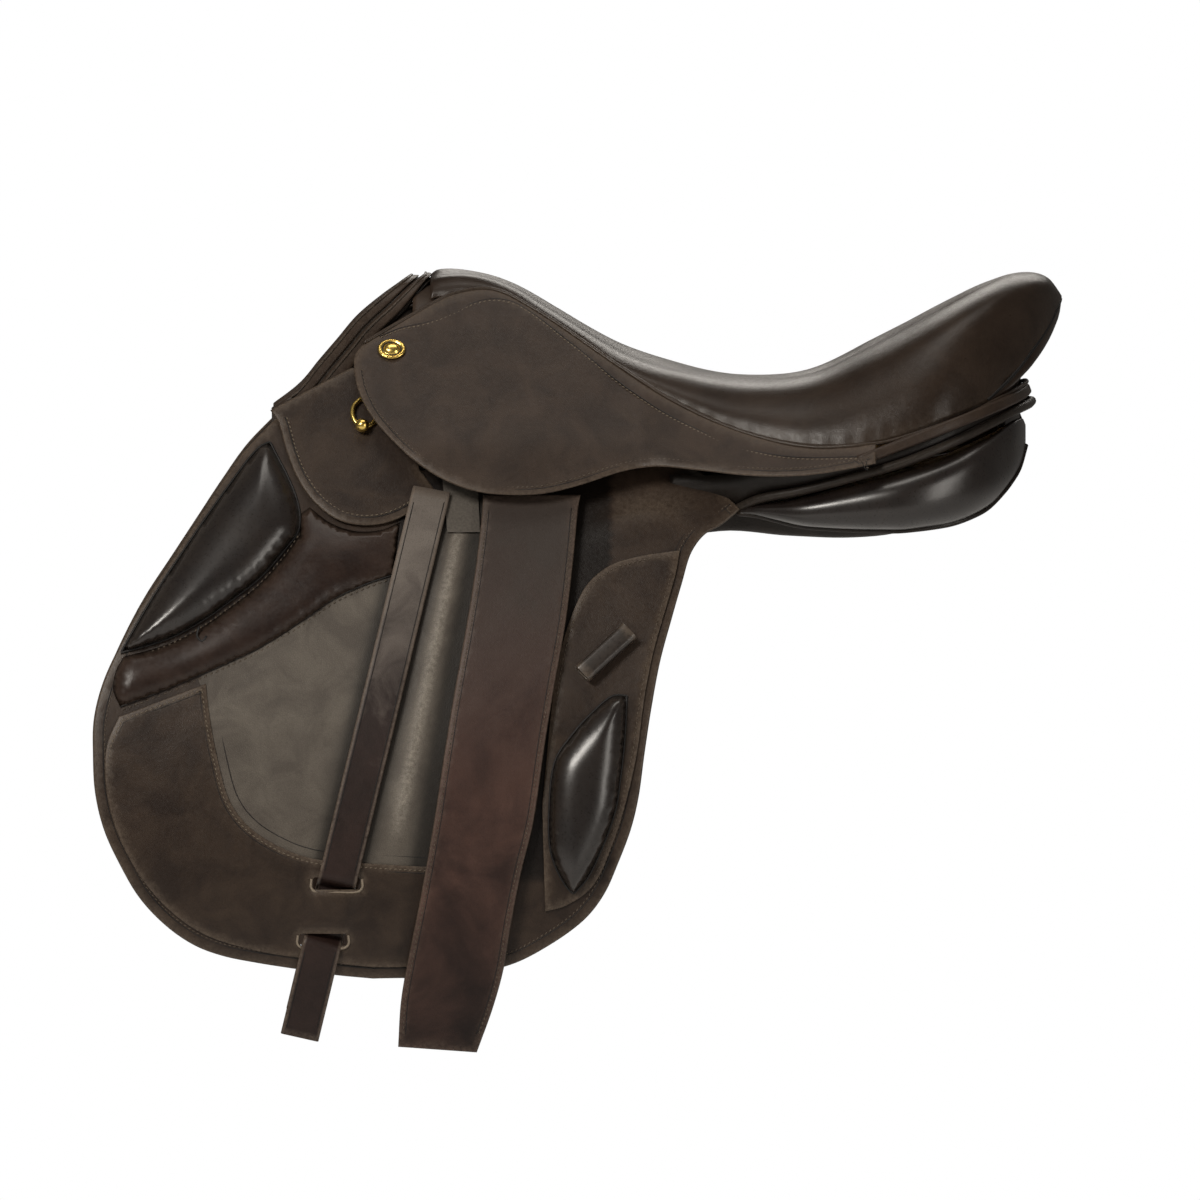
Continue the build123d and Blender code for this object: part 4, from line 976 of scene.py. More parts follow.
def flap_bulge(p):
    """The flap lifts over the front girth strap where the strap runs behind it."""
    x, z = p[:, 0], p[:, 1]
    d = np.abs(x - strap_x(z))
    return 1.8 * ramp(-d, -19, -10) * ramp(z, -284, -276) * ramp(-z, 240, 248)


# Paler part of the flap, left bare between the patches.
CALF_AREA = [(-297, -100), (-293.5, -130), (-289, -158), (-280, -190), (-266, -208), (-245, -221.5), (-222, -229.5),
    (-189, -232.5), (-100, -237), (-72, -60), (-90, 20), (-150, 10), (-158, -20), (-240, -60)]


def flap_painted_light(verts):
    """Painted light on the flap's outer face: a painted highlight on its ridge and where it is full, and painted shadow
    beside the front strap and the guard.
    """
    x, z = verts[:, 0], verts[:, 2]
    from_strap = np.maximum(np.abs(x - strap_x(z)) - STRAP_WIDTH / 2, 0)
    from_guard = np.maximum(guard_x(z) - 35.0 - x, 0)
    # painted shadow that the front strap and the guard cast on the flap
    painted_shadow = np.maximum(np.exp(-(from_strap / 7.5) ** 2), np.exp(-(from_guard / 8.0) ** 2) * (x < -20))
    ridge_highlight = np.exp(-((x - ridge_x(z)) / 5.0) ** 2) * ramp(z, -226, -190)
    # painted highlight on the fullness of the flap under the skirt
    full = np.exp(-((x - 6) / 32) ** 2 - ((z - 8 - 0.1 * x) / 10) ** 2)
    tone = 0.9 * ridge_highlight + 0.6 * full - 0.9 * painted_shadow * ramp(z, -244, -238)
    return outer_side(verts) * tone


def outer_side(points):
    """Which points lie nearer to the flap's outer face than to its inner one."""
    return points[:, 1] > arch(points[:, [0, 2]], 3.0)[:, 1]


def make_flap():
    """Flap of one sheet with its slots, its paler calf area and its double borders."""
    poly = outline(FLAP_FRONT, FLAP_REAR, FLAP_TOP)
    bar_hole = np.array([(-149, 33), (-149, 60), (-133, 60), (-133, 33)], float)
    holes = [slot_hole(z) for z in SLOTS] + [bar_hole]
    verts, faces, material, wear_and_painted_light = sheet_data(poly, arch, 0.0, FLAP_FACE, holes=holes, edge=1.5, grid=4.5,
        puff=flap_puff, bulge=flap_bulge)
    centres = np.array([verts[list(f)].mean(0) for f in faces])
    calf = inside(centres[:, [0, 2]], np.array(CALF_AREA, float)) & outer_side(centres)
    material = np.where((np.array(material) == 0) & calf, 2, material)
    # the flap's wear also carries its painted highlights and painted shadow
    data = verts, faces, material, wear_and_painted_light + flap_painted_light(verts)
    for obj in both_sides("flap_leather", data, [FLAP, EDGE, CALF], "flap_leather", nodes=("flap",)):
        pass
    border = edge_run(poly, 7.0, (-258, 45), (62, 2))
    half = int(np.argmin(np.linalg.norm(border - [-180, -300], axis=1)))
    double_line("flap_front_border", border[:half + 1], arch, FLAP_FACE, DARK_THREAD)
    double_line("flap_rear_border", border[half:], arch, FLAP_FACE, DARK_THREAD)
    crease_line("flap_rear_line", edge_run(poly, 10.5, (-20, -240), (50, -7)), arch, 3.92, 0.3)


PATCH_OUTER = [(-351, -131), (-359, -150), (-360, -172), (-356, -196), (-347, -220), (-330, -247), (-311, -266),
    (-290, -279), (-256, -289), (-220, -294.5), (-180, -299.5), (-140, -298.5), (-104, -293)]
PATCH_INNER = [(-104, -233.5), (-147, -231.5), (-189, -229), (-221, -226), (-243, -218), (-263, -205), (-276, -188),
    (-285, -157), (-290, -130), (-292.5, -109)]


def make_knee_patch():
    """Patch round the lower front of the flap, and the lips of its slots."""
    runs = [PATCH_OUTER, [PATCH_OUTER[-1], PATCH_INNER[0]], PATCH_INNER, [PATCH_INNER[-1], PATCH_OUTER[0]]]

    def soft(p):
        return 0.3 * ripple(p, 40, 3.0) + 0.12 * ripple(p, 15, 1.0)

    holes = [slot_hole(z) for z in SLOTS]
    leather_piece("knee_patch_leather", runs, arch, PATCH_LOW, PATCH_FACE, [FLAP, EDGE], "flap_leather",
        nodes=("knee_patch",), holes=holes, edge=0.6, grid=4.5, puff=soft, bulge=flap_bulge)
    poly = outline(*runs)
    inner = edge_run(poly, 2.8, PATCH_INNER[0], PATCH_OUTER[2])
    stitch_row("knee_patch_stitching", inner[4:], arch, PATCH_FACE + 0.05)
    crease_line("knee_patch_crease", edge_run(poly, 4.6, PATCH_INNER[0], PATCH_OUTER[1])[4:], arch, 5.55, 0.28)
    line = inset_open(spline(PATCH_INNER, 3.0), -6.0)
    crease_line("calf_line", line[2:-4], arch, FLAP_FACE, 0.3)
    # pressed lip along the foot of each slot, coloured pale all over as a painted highlight
    for number, z in enumerate(SLOTS):
        x = strap_x(z)
        lip = np.array([(x - 17, z + 3), (x - 17.3, z - 2.5), (x - 15, z - 5.2), (x, z - 5.9), (x + 15, z - 5.2),
            (x + 17.3, z - 2.5), (x + 17, z + 3)])
        verts, faces = tube_data(arch(spline(lip, 1.5), 6.3), 0.8, 8)
        both_sides(f"slot_lip_{number + 1}", (verts, faces, None, np.full(len(verts), 1.0)), [LIP_HIGHLIGHT], "flap_leather")


def make_calf_patch():
    """Patch on the rear of the flap, under the thigh block."""
    runs = [
        [(27, -20), (0, -24), (-20, -30), (-35, -42), (-44, -58), (-53, -84), (-58, -110), (-66, -190)],
        [(-66, -190), (-64, -262)],
        [(-64, -262), (-50, -258), (-32, -245), (-18, -215), (-10, -190), (-2, -155), (3, -118), (9, -88), (17, -60),
            (24, -36), (27, -20)],
    ]
    leather_piece("rear_patch_leather", runs, arch, PATCH_LOW, PATCH_FACE, [FLAP, EDGE], "flap_leather",
        nodes=("calf_patch",), edge=0.6, grid=5.0, puff=lambda p: 0.35 * ripple(p, 30, 5.0))
    poly = outline(*runs)
    for name, first, last in (("", (20, -22), (-60, -150)), ("_low", (-30, -240), (22, -30))):
        line = edge_run(poly, 3.0, first, last)
        stitch_row(f"rear_patch_stitching{name}", line, arch, PATCH_FACE + 0.05, thread=DARK_THREAD)


# ---- Blocks and rolls ----
KNEE_BLOCK = [
    [(-250, 52), (-245, 42), (-240, 33), (-234, 20), (-231, 11), (-229.5, 0), (-231, -8), (-240, -20), (-257, -39),
        (-275, -53), (-295, -67), (-318, -79), (-350, -88.5)],
    [(-350, -88.5), (-330, -54), (-309, -22), (-282, 17), (-257, 48.6), (-250, 52)],
]
ROLL_LOW = [(-166, -37), (-184, -43), (-206, -53), (-226.5, -67), (-257, -86), (-275, -94.5), (-292, -102),
    (-318, -113), (-350, -125)]
KNEE_ROLL = [
    [(-348, -91), (-318, -82.5), (-295, -71), (-275, -57), (-257, -43), (-240, -24), (-229.5, -10)],
    [(-229.5, -10), (-228.5, 4), (-223, 8.5)],
    [(-223, 8.5), (-208, -2.5), (-191, -7.5), (-174, -6.5), (-162, -1.5)],
    [(-162, -1.5), (-164, -18), (-166, -37)],
    ROLL_LOW,
    [ROLL_LOW[-1], (-355, -113), (-353, -100), (-348, -91)],
]
THIGH_BLOCK = [
    [(-9, -117), (-18, -117), (-35, -131), (-48, -146), (-57, -160), (-61, -189), (-60, -222), (-51, -243),
        (-45, -250)],
    [(-45, -250), (-36, -240), (-27, -222), (-17, -195), (-13, -170), (-10, -140), (-9, -117)],
]


def make_blocks():
    """Stuffed knee block, thigh block and knee roll, with their seams and tie."""
    def low_side(p):
        return ramp(-(p[:, 1] - 0.62 * (p[:, 0] + 300)), -20, 35)

    jobs = (
        ("knee_block", KNEE_BLOCK, 4.2, stuffed(17.6, 26, 1.5, 7.5, 5.0, 0.5, low_side), 3.2),
        ("thigh_block", THIGH_BLOCK, 5.7, stuffed(15.4, 19, 0.9, 6.5, 4.0, 0.3), 3.0),
    )
    for name, runs, low, dome, grid in jobs:
        poly = outline(*runs, step=2.5)
        for obj in both_sides(f"{name}_leather", pad_data(poly, arch, low, dome, grid), [BLOCK], "block_leather",
                nodes=(name,)):
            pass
        rim = arch(resample(np.concatenate([poly, poly[:1]]), 2.0), low + 0.5)
        both_sides(f"{name}_seam", tube_data(rim, 0.85, 6, False), [CREASE], "block_leather")
    poly = outline(*KNEE_ROLL, step=2.5)
    dome = stuffed(8.2, 15, 1.0, 6.2, 4.5, 0.5, lambda p: ramp(-p[:, 1], -20, 60))

    def roll(d, along, p):
        line = ramp(p[:, 1] + 0.45 * (p[:, 0] + 200), -38, 6)
        return dome(d, along, p) * (0.3 + 0.7 * ramp(-p[:, 0], 168, 222)) * (1 - 0.72 * line)

    for obj in both_sides("knee_roll_leather", pad_data(poly, arch, 4.2, roll, 3.2), [ROLL], "flap_leather",
            nodes=("knee_roll",)):
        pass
    low = spline(ROLL_LOW, 2.0)
    both_sides("knee_roll_seam", tube_data(arch(inset_open(low, -0.6), 4.6), 0.55, 6), [CREASE], "flap_leather")
    stitch_row("knee_roll_stitching", inset_open(low, 1.7), arch, 4.25, thread=DARK_THREAD, step=4.2, length=2.6)
    top = [(-342, -90.5), (-318, -82), (-296, -70), (-276, -56), (-258, -42), (-241, -23), (-231, -9)]
    gathered = spline(top, 2.0)
    stitch_row("knee_block_stitching", inset_open(gathered, -1.2), arch, 5.2, thread=DARK_THREAD, step=4.0,
        length=2.4, width=0.6, height=0.6)
    loop = arch(spline([(-297, -70.5), (-298.5, -77), (-295, -80.5), (-292, -77)], 1.5), 10.5)
    both_sides("knee_roll_tie", tube_data(loop, 0.8, 8), [CREASE], "flap_leather")


def make_under_skirt():
    """Small leather below the front of the skirt."""
    runs = [UNDER_SKIRT_EDGE, [UNDER_SKIRT_EDGE[-1], (-149, 34)], [(-149, 34), (-151, 103)],
        [(-151, 103), (-170, 106), (-196, 101)], [(-196, 101), (-212, 93), (-231, 83), (-250, 73)]]
    for obj in leather_piece("under_skirt_leather", runs, arch, 4.4, 7.9, [FLAP, EDGE], "flap_leather",
            nodes=("under_skirt",), edge=1.4, grid=4.5, puff=lambda p: 0.4 * ripple(p, 36, 2.0)):
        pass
    line = edge_run(outline(*runs), 5.5, (-243, 66), (-150, 15))
    double_line("under_skirt_border", line, arch, 7.95, THREAD)


# ---- Keeper ----
def make_keepers():
    """Leather loop at 45 degrees, flared a little at its ends."""
    x, z = -23.0, -88.0
    mid = 10.5
    centre = arch(np.array([[x, z]]), mid)[0]
    out = surface_normals(arch, np.array([[x, z]]), mid)[0]
    along = np.array([math.cos(math.pi / 4), 0, math.sin(math.pi / 4)])
    along -= out * np.dot(along, out)
    along /= np.linalg.norm(along)
    across = np.cross(out, along)
    rows = []
    stations = [(-22, 0.0), (-21.4, 0.5), (-15, 0.2), (0, 0.0), (15, 0.2), (21.4, 0.5), (22, 0.0)]
    outer = rounded(13.6, 9.4, 3.4, 5)
    inner = rounded(9.2, 5.2, 1.8, 5)
    ring = [(s, outer * (1 + 0.03 * f)) for s, f in stations] + [(s, inner * (1 + 0.04 * f)) for s, f in stations[::-1]]
    for s, section in ring:
        rows.append(centre + along * s + across * section[:, :1] + out * section[:, 1:])
    verts, faces = grid_data(np.array(rows), close_rows=True, close_columns=True)
    wear_and_painted_light = np.concatenate([np.full(len(outer), 1.0 if abs(s) > 21 else 0.15) for s, _ in ring])
    for obj in both_sides("keeper_leather", (verts, faces, None, wear_and_painted_light), [BLOCK], "strap_leather"):
        fix_normals(obj)
        if obj.name.endswith("left"):
            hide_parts("keepers")


# ---- Straps ----
def strap_data(path, height, thick):
    """A leather strap along (x, z) points on the arch, at a height above it at each point."""
    p = np.asarray(path, float)
    h = np.broadcast_to(np.asarray(height, float), (len(p),))
    centre = arch(p, h)
    normal = surface_normals(arch, p, h)
    t = unit(np.gradient(centre, axis=0))
    up = unit(normal - t * np.sum(normal * t, axis=1, keepdims=True))
    across = np.cross(t, up)
    # the section, from -1 to 1 across and half a thickness up and down, with its corners cut
    half = thick / 2
    lower = [(-1.0, -half + 1.1), (-0.93, -half)] + [(a, -half) for a in np.linspace(-0.8, 0.8, 6)] + [(0.93, -half)]
    upper = [(1.0, -half + 1.1), (1.0, half - 1.1), (0.93, half)] + [(a, half) for a in np.linspace(0.8, -0.8, 6)]
    ring = np.array(lower + upper + [(-0.93, half), (-1.0, half - 1.1)])
    rows = centre[:, None] + across[:, None] * (ring[None, :, :1] * STRAP_WIDTH / 2) + up[:, None] * ring[None, :, 1:]
    verts, faces = grid_data(rows, close_columns=True, cap=True)
    m = len(ring)
    wear_and_painted_light = np.tile(np.where(np.abs(ring[:, 0]) > 0.9, 1.0, 0.0), len(p))
    wear_and_painted_light[:m] = wear_and_painted_light[-m:] = 1.0
    out = np.abs(ring[:, 0]) > 0.95
    cut_edge = (out & np.roll(out, -1)).astype(int)
    return verts, faces, list(np.tile(cut_edge, len(p) - 1)) + [1, 1], wear_and_painted_light


def make_front_straps():
    """Front girth strap: over the flap, behind it between the two slots, and down to its loose end."""
    z = np.concatenate([np.arange(20, -232, -6), np.arange(-234, -290, -1.5), np.arange(-292, -347, -5), [-347.0]])
    deep = ramp(-z, 238.5, 246.5) * ramp(z, -285.5, -277.5)
    height = 7.9 - 10.9 * deep + 0.35 * np.sin(z / 23) * (1 - deep)
    path = np.stack([strap_x(z), z], 1)
    bend = ("saddle", "front_strap_tail_{}", (strap_x(-277), 185, -277), (strap_x(-277), 185, -291))
    both_sides("front_girth_strap", strap_data(path, height, 3.6), [STRAP, EDGE], "strap_leather", bend=bend,
        nodes=("front_strap", "front_strap_tail"))
    for x_off in (-10.3, 10.3):
        name = "left" if x_off < 0 else "right"
        for part, top, low in (("upper", 12, -236), ("tail", -289, -343)):
            zz = np.arange(top, low, -3.0)
            line = np.stack([strap_x(zz) + x_off, zz], 1)
            crease_line(f"front_strap_{part}_line_{name}_edge", line, arch, lambda p: 9.75 + 0.35
                * np.sin(p[:, 1] / 23), 0.3, "strap_leather", bend=bend)


GUARD_LEFT = [(-106, 17), (-106.5, 7), (-111, -32), (-117, -69.5), (-126, -119.5), (-133, -163), (-139, -202.5),
    (-149, -258), (-156, -293), (-161, -322), (-163, -353.5)]
GUARD_RIGHT = [(-110, -357.3), (-99, -326.5), (-92, -301), (-87, -271), (-80, -235), (-72, -202.5), (-64, -148.5),
    (-58, -112), (-50, -67), (-45, -26), (-41.5, 9.5), (-40, 17)]


def make_rear_straps():
    """Rear girth strap, and the wide guard over it."""
    z = np.concatenate([[17.0], np.arange(12, -336, -8), [-338.0]])
    path = np.stack([guard_x(z), z], 1)
    both_sides("rear_girth_strap", strap_data(path, 7.8, 3.5), [STRAP, EDGE], "strap_leather", body="rear_strap_{}",
        nodes=("rear_strap",))
    runs = [GUARD_LEFT, [GUARD_LEFT[-1], GUARD_RIGHT[0]], GUARD_RIGHT, [GUARD_RIGHT[-1], GUARD_LEFT[0]]]

    def soft(p):
        return 0.5 * ripple(p, 70, 1.2) + 0.15 * ripple(p, 18, 4.0)

    def lift(p):
        return 0.6 * ripple(p, 90, 2.5) + 0.6

    for obj in leather_piece("girth_guard", runs, arch, 10.0, 13.4, [GUARD, EDGE], "strap_leather", body="guard_{}",
            nodes=("guard",), edge=1.3, grid=5.0, puff=soft, bulge=lift):
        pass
    poly = outline(*runs)
    for name, first, last in (("front", (-106, 8), (-161, -345)), ("back", (-106, -345), (-42, 8))):
        line = edge_run(poly, 4.6, first, last)
        crease_line(f"guard_{name}_crease", line, arch, lambda p: 13.33 + soft(p) + lift(p), 0.32, "strap_leather",
            body="guard_{}")
        stitch_row(f"guard_{name}_stitching", inset_open(line, -1.5), arch, lambda p: 13.45 + soft(p) + lift(p),
            "strap_leather", DARK_THREAD, {"body": "guard_{}"})


# ---- Pommel ----
FRONT_EDGE = [(-156, 163), (-176, 148.5), (-193, 134), (-206, 118.5), (-220, 102), (-232, 87), (-250, 74)]


def arch_at(s, h):
    """A point of the arch by its distance from the apex along the base arch, at an offset."""
    s, h = np.broadcast_arrays(np.asarray(s, float), np.asarray(h, float))
    turn = POMMEL_R * (math.pi / 2 - SLOPE)
    angle = math.pi / 2 - np.clip(s, 0, turn) / POMMEL_R
    w = (POMMEL_R + h) * np.cos(angle)
    z = POMMEL_Z + (POMMEL_R + h) * np.sin(angle)
    beyond = np.maximum(s - turn, 0)
    return w + beyond * math.sin(SLOPE), z - beyond * math.cos(SLOPE)


def front_x(z):
    """Front edge of the saddle at a height."""
    c = spline(FRONT_EDGE, 2.0)[::-1]
    return np.interp(z, c[:, 1], c[:, 0])


def pommel_strip(back, low, high, radius, s_end, only_beyond=None):
    """A strip round the front of the saddle between two offsets, set back from the front edge."""
    s = np.linspace(-s_end, s_end, 111) if only_beyond is None else np.linspace(only_beyond, s_end, 45)
    rows = []
    for at in s:
        a, b = back(abs(at) / s_end)
        ring = rounded(b - a, high - low, min(radius, (b - a) / 2.1), 5)
        # the strip is rounded off towards its ends
        t = np.clip((abs(at) - s_end + 6.0) / 6.0, 0, 0.97)
        ring = ring * math.sqrt(1 - t * t) + [(a + b) / 2, (low + high) / 2]
        w, z = arch_at(abs(at), ring[:, 1])
        lift = -0.5 * ring[:, 0] * ramp(abs(at), 15, 50)
        rows.append(np.stack([front_x(z) + ring[:, 0], math.copysign(1, at) * w, z + lift], 1))
    return grid_data(np.array(rows), close_columns=True, cap=True)


def make_pommel():
    """Facing, core and binding at the front of the arch, with a cord on each edge."""
    parts = [pommel_strip(lambda t: (0.2, 7.9), -15.5, 5.0, 2.2, 119.5)]
    for side in (-1, 1):
        v, f = pommel_strip(lambda t: (0.6, 7.6), -36.5, -16.0, 2.5, 119.5, 72.0)
        v[:, 1] = np.maximum(v[:, 1], 31.5) * side
        parts.append((v, f))
    centre_piece("front_facing_leather", merged(parts), SKIRT, ["front_facing"], 0.2)
    core = pommel_strip(lambda t: (5.0, 21.0 - 5.0 * t), -9.0, 3.4, 1.5, 116.0)
    centre_piece("pommel_core", core, PANEL, wear_and_painted_light=0.2)
    binding = pommel_strip(lambda t: (8.9, 15.2 + 4.5 * t), -7.6, 6.6, 2.6, 112.0)
    # flange of the binding, which runs back under the seat
    xs = np.linspace(-154, -119, 12)
    rows = []
    for h in (0.7, -0.2):
        for x in (xs if h > 0 else xs[::-1]):
            s = np.linspace(-62, 62, 61)
            w, z = arch_at(np.abs(s), h)
            rows.append(np.stack([np.full(len(s), x), np.sign(s) * w, z], 1))
    v, f = grid_data(np.array(rows), close_rows=True)
    n, m = len(rows), 61
    for i in range(n // 2 - 1):
        f.append((i * m, (i + 1) * m, (n - 2 - i) * m, (n - 1 - i) * m))
        f.append(((i + 1) * m + m - 1, i * m + m - 1, (n - 1 - i) * m + m - 1, (n - 2 - i) * m + m - 1))
    data = merged([binding, (v, f)])
    centre_piece("pommel_binding_leather", data, SKIRT, ["pommel_binding"], 0.2)
    # raised cord on each edge, which catches the light; its pale colour all along is worn edge and painted highlight
    for name, back, h, end in (("front", 1.6, 5.0, 116.0), ("second", 10.6, 6.5, 108.0)):
        s = np.linspace(-end, end, 121)
        w, z = arch_at(np.abs(s), h)
        lift = -0.5 * back * ramp(np.abs(s), 15, 50)
        line = np.stack([front_x(z) + back, np.sign(s) * w, z + lift], 1)
        cord = tube_data(line, 0.9, 8)
        centre_piece(f"pommel_{name}_cord", cord, EDGE, wear_and_painted_light=0.9, mend=False)


# ---- Panel ----
PANEL_RUNS = [
    [(-154, 143), (-193, 115), (-225, 84), (-248, 55), (-262, 30), (-277, -20)],
    [(-277, -20), (-262, -58), (-200, -74), (-110, -63), (-22, -38)],
    [(-22, -38), (-22, 58)],
    [(-22, 58), (-60, 90), (-92, 106), (-136, 122), (-154, 143)],
]


def make_front_panels():
    """Stuffed fore part of each cushion: flat against the flap, full towards the horse."""
    poly = outline(*PANEL_RUNS, step=4.0)
    flat, faces = fill_outline(poly, [], 7.0)
    n, count = len(poly), len(flat)
    d, _ = nearest(flat, poly)
    d[:n] = 0
    t = np.clip(d / 22, 0, 1)
    rise = 31 * np.sqrt(np.maximum(1 - (1 - t) ** 2, 0)) * (0.9 + 0.1 * ramp(d, 22, 50)) + 0.5 * ripple(flat, 40,
        1.0) * t
    inner = arch(flat, PANEL_BACK - rise)
    inner[:, 1] = np.where(inner[:, 1] < 33, 33 + 0.02 * (inner[:, 1] - 33), inner[:, 1])
    outer = arch(flat[n:], PANEL_BACK + 3.6 * np.clip(d[n:] / 7, 0, 1))
    outer[:, 1] = np.maximum(outer[:, 1], 33.4)
    under = np.concatenate([np.arange(n), count + np.arange(count - n)])
    out = [tuple(reversed(f)) for f in faces] + [tuple(int(under[i]) for i in f) for f in faces]
    for obj in both_sides("front_panel_leather", (np.concatenate([inner, outer]), out), [PANEL], "panel_leather",
            nodes=("front_panel",)):
        fix_normals(obj)
    rim = np.concatenate([inner[:n], inner[:1]])
    both_sides("front_panel_welt", tube_data(rim, 1.3, 8, False), [EDGE], "panel_leather")


# x, inner edge w and z, outer edge w and z, thickness of the cushion
REAR_PANEL = [(-20, 38, 56, 92, -20, 22), (0, 37.5, 50, 95, -14, 23), (20, 37, 44, 98, -8, 25),
    (60, 37, 34, 106, 1, 27), (100, 37, 26, 123, 0, 31), (140, 37, 20, 130, 2, 35), (180, 38, 21, 130, 9, 37),
    (215, 41, 28, 122, 22, 33), (243, 50, 40, 104, 38, 24), (256, 62, 47, 93, 47, 11), (259, 72, 50, 84, 49, 4)]


def make_rear_panels():
    """Stuffed rear part of each cushion, with rounded sides."""
    def at(x, k):
        return float(track([(row[0], row[k]) for row in REAR_PANEL], x))

    xs = np.concatenate([[-20, -19, -17, -14], np.arange(-9, 243, 7), np.linspace(246, 259, 7)])
    rows = []
    angle = np.linspace(0, 2 * math.pi, 48, endpoint=False)
    for x in xs:
        a, b, thick = np.array([at(x, 1), at(x, 2)]), np.array([at(x, 3), at(x, 4)]), at(x, 5)
        thick *= 0.62 + 0.38 * math.sqrt(max(0.0, 1 - (1 - min(1, (x + 20.5) / 14)) ** 2))
        u = (b - a) / 2
        v = np.array([-u[1], u[0]]) / np.linalg.norm(u) * thick / 2
        c, s = np.cos(angle), np.sin(angle)
        cu, sv = np.sign(c) * np.abs(c) ** 0.33, np.sign(s) * np.abs(s) ** 0.42
        p = (a + b) / 2 + cu[:, None] * u + sv[:, None] * v
        soft = 0.5 * np.sin(x / 17 + 2 * c)
        rows.append(np.stack([np.full(len(p), x), p[:, 0], p[:, 1] + soft * (sv < 0)], 1))
    verts, faces = grid_data(np.array(rows), close_columns=True, cap=True)
    for obj in both_sides("rear_panel_leather", (verts, faces), [PANEL], "panel_leather", nodes=("rear_panel",)):
        fix_normals(obj)


# x, inner edge w, fullest w, low z, high z of the gusset
GUSSET = [(66, 121, 122.5, 4, 7), (78, 126, 133, 3, 10), (91, 130, 142, 0, 12), (108, 134, 152.5, -4, 15.5),
    (125, 136, 158, -5.6, 20), (142, 137, 161.5, -6.6, 25), (160, 138, 164.5, -7, 30), (175, 138, 165.5, -7.2, 34),
    (192, 136, 163, -5.5, 39.5), (209, 131, 157, -3, 46), (225, 123, 148, 2.5, 53), (238, 113, 134.5, 10, 59),
    (247, 103, 120, 20, 64), (253, 94, 109, 28, 67), (257, 86, 98, 35, 68), (259.5, 80, 88, 42, 67),
    (261, 76, 80, 49, 63)]


def make_gussets():
    """Full leather gusset along the outside of each rear cushion."""
    xs = np.concatenate([np.arange(66, 247, 4.0), np.linspace(248, 261, 9)])
    cols = [track([(g[0], g[k]) for g in GUSSET], xs) for k in range(1, 5)]
    rows = []
    for i, x in enumerate(xs):
        inner, outer, low, high = (c[i] for c in cols)
        out = []
        for t in np.linspace(-1, 1, 25):
            full = max(0.0, 1 - abs(t) ** 2.6) ** 0.5
            z = (low + high) / 2 + t * (high - low) / 2 * (0.985 + 0.015 * full)
            out.append((x, inner + (outer - inner) * full, z))
        for t in np.linspace(1, -1, 9)[1:-1]:
            out.append((x, inner - 1.2, (low + high) / 2 + t * (high - low) / 2))
        rows.append(out)
    rows = np.array(rows)
    pull = 0.5 * np.sin(rows[:, :, 0] / 5.1 + np.sin(rows[:, :, 0] / 13))
    edge = np.abs(np.linspace(-1, 1, 25))
    rows[:, :25, 1] -= pull[:, :25] * (ramp(edge, 0.7, 0.95) * (1 - ramp(edge, 0.96, 1.0)))[None, :]
    verts, faces = grid_data(rows, close_columns=True, cap=True)
    for obj in both_sides("rear_gusset_leather", (verts, faces), [BLOCK], "panel_leather", nodes=("rear_gusset",)):
        fix_normals(obj)
    # welt between the gusset and the bearing face below it
    low = np.stack([xs, cols[0] + 0.8, cols[2] + 0.2], 1)
    both_sides("gusset_welt", tube_data(spline(low[::3], 3.0), 1.9, 10), [EDGE], "panel_leather")


def make_panel_wall():
    """Leather that closes the space between the rear cushions and the seat, all round the back."""
    foot = spline([(20, 100, 4), (44, 107, 6), (66, 118, 9), (80, 127, 14), (108, 140, 20), (142, 149, 29),
        (175, 151, 38.5), (209, 143, 52), (238, 118, 65.5), (252, 88, 73), (259, 45, 76), (261, 0, 77)], 4.0)
    top = spline([(20, 118, 30), (44, 126, 30), (66, 134, 32), (80, 138, 36), (108, 146, 38), (142, 152, 42),
        (175, 151, 51), (209, 142, 64), (238, 114, 76), (252, 86, 82), (258, 45, 86), (260, 0, 88)], 4.0)
    n = 110
    foot, top = resample(foot, 1.0), resample(top, 1.0)
    pick = [np.round(np.linspace(0, len(q) - 1, n)).astype(int) for q in (foot, top)]
    half = np.stack([foot[pick[0]], (foot[pick[0]] + top[pick[1]]) / 2, top[pick[1]]], 1)
    rows = np.concatenate([half * [1, -1, 1], half[-2::-1]])
    centre = np.array([120.0, 0.0, 0.0])
    way = rows - centre
    way[:, :, 2] = 0
    way /= np.linalg.norm(way, axis=2, keepdims=True)
    centre_piece("panel_wall", shell(rows, rows - way * 2.0), PANEL)


def make_gullet_lining():
    """Lining between the rear cushions."""
    xs = np.linspace(-20, 250, 46)
    top = track([(-20, 67), (20, 55), (60, 46), (100, 39), (140, 36.5), (180, 39), (215, 45), (250, 54)], xs)
    w = np.linspace(-29.5, 29.5, 21)
    upper = np.array([[(x, y, z - 0.9 * (1 - (y / 29.5) ** 2)) for y in w] for x, z in zip(xs, top)])
    skin = shell(upper, upper - [0, 0, 1.5])
    centre_piece("gullet_lining_leather", skin, PANEL, ["gullet_lining"])


def make_gullet_front():
    """Lining under the pommel, down to the waist."""
    xs = np.linspace(-147, -21, 30)
    edge = track([(-147, 126), (-120, 124), (-94, 107), (-54, 87), (-21, 66)], xs)
    crown = track([(-147, 140), (-120, 138.5), (-94, 128), (-54, 102), (-21, 68)], xs)
    w = np.linspace(-30, 30, 25)
    upper = np.array([[(x, y, e + (c - e) * (1 - (y / 30) ** 2)) for y in w] for x, e, c in zip(xs, edge, crown)])
    centre_piece("gullet_front_lining", shell(upper, upper - [0, 0, 1.6]), PANEL)


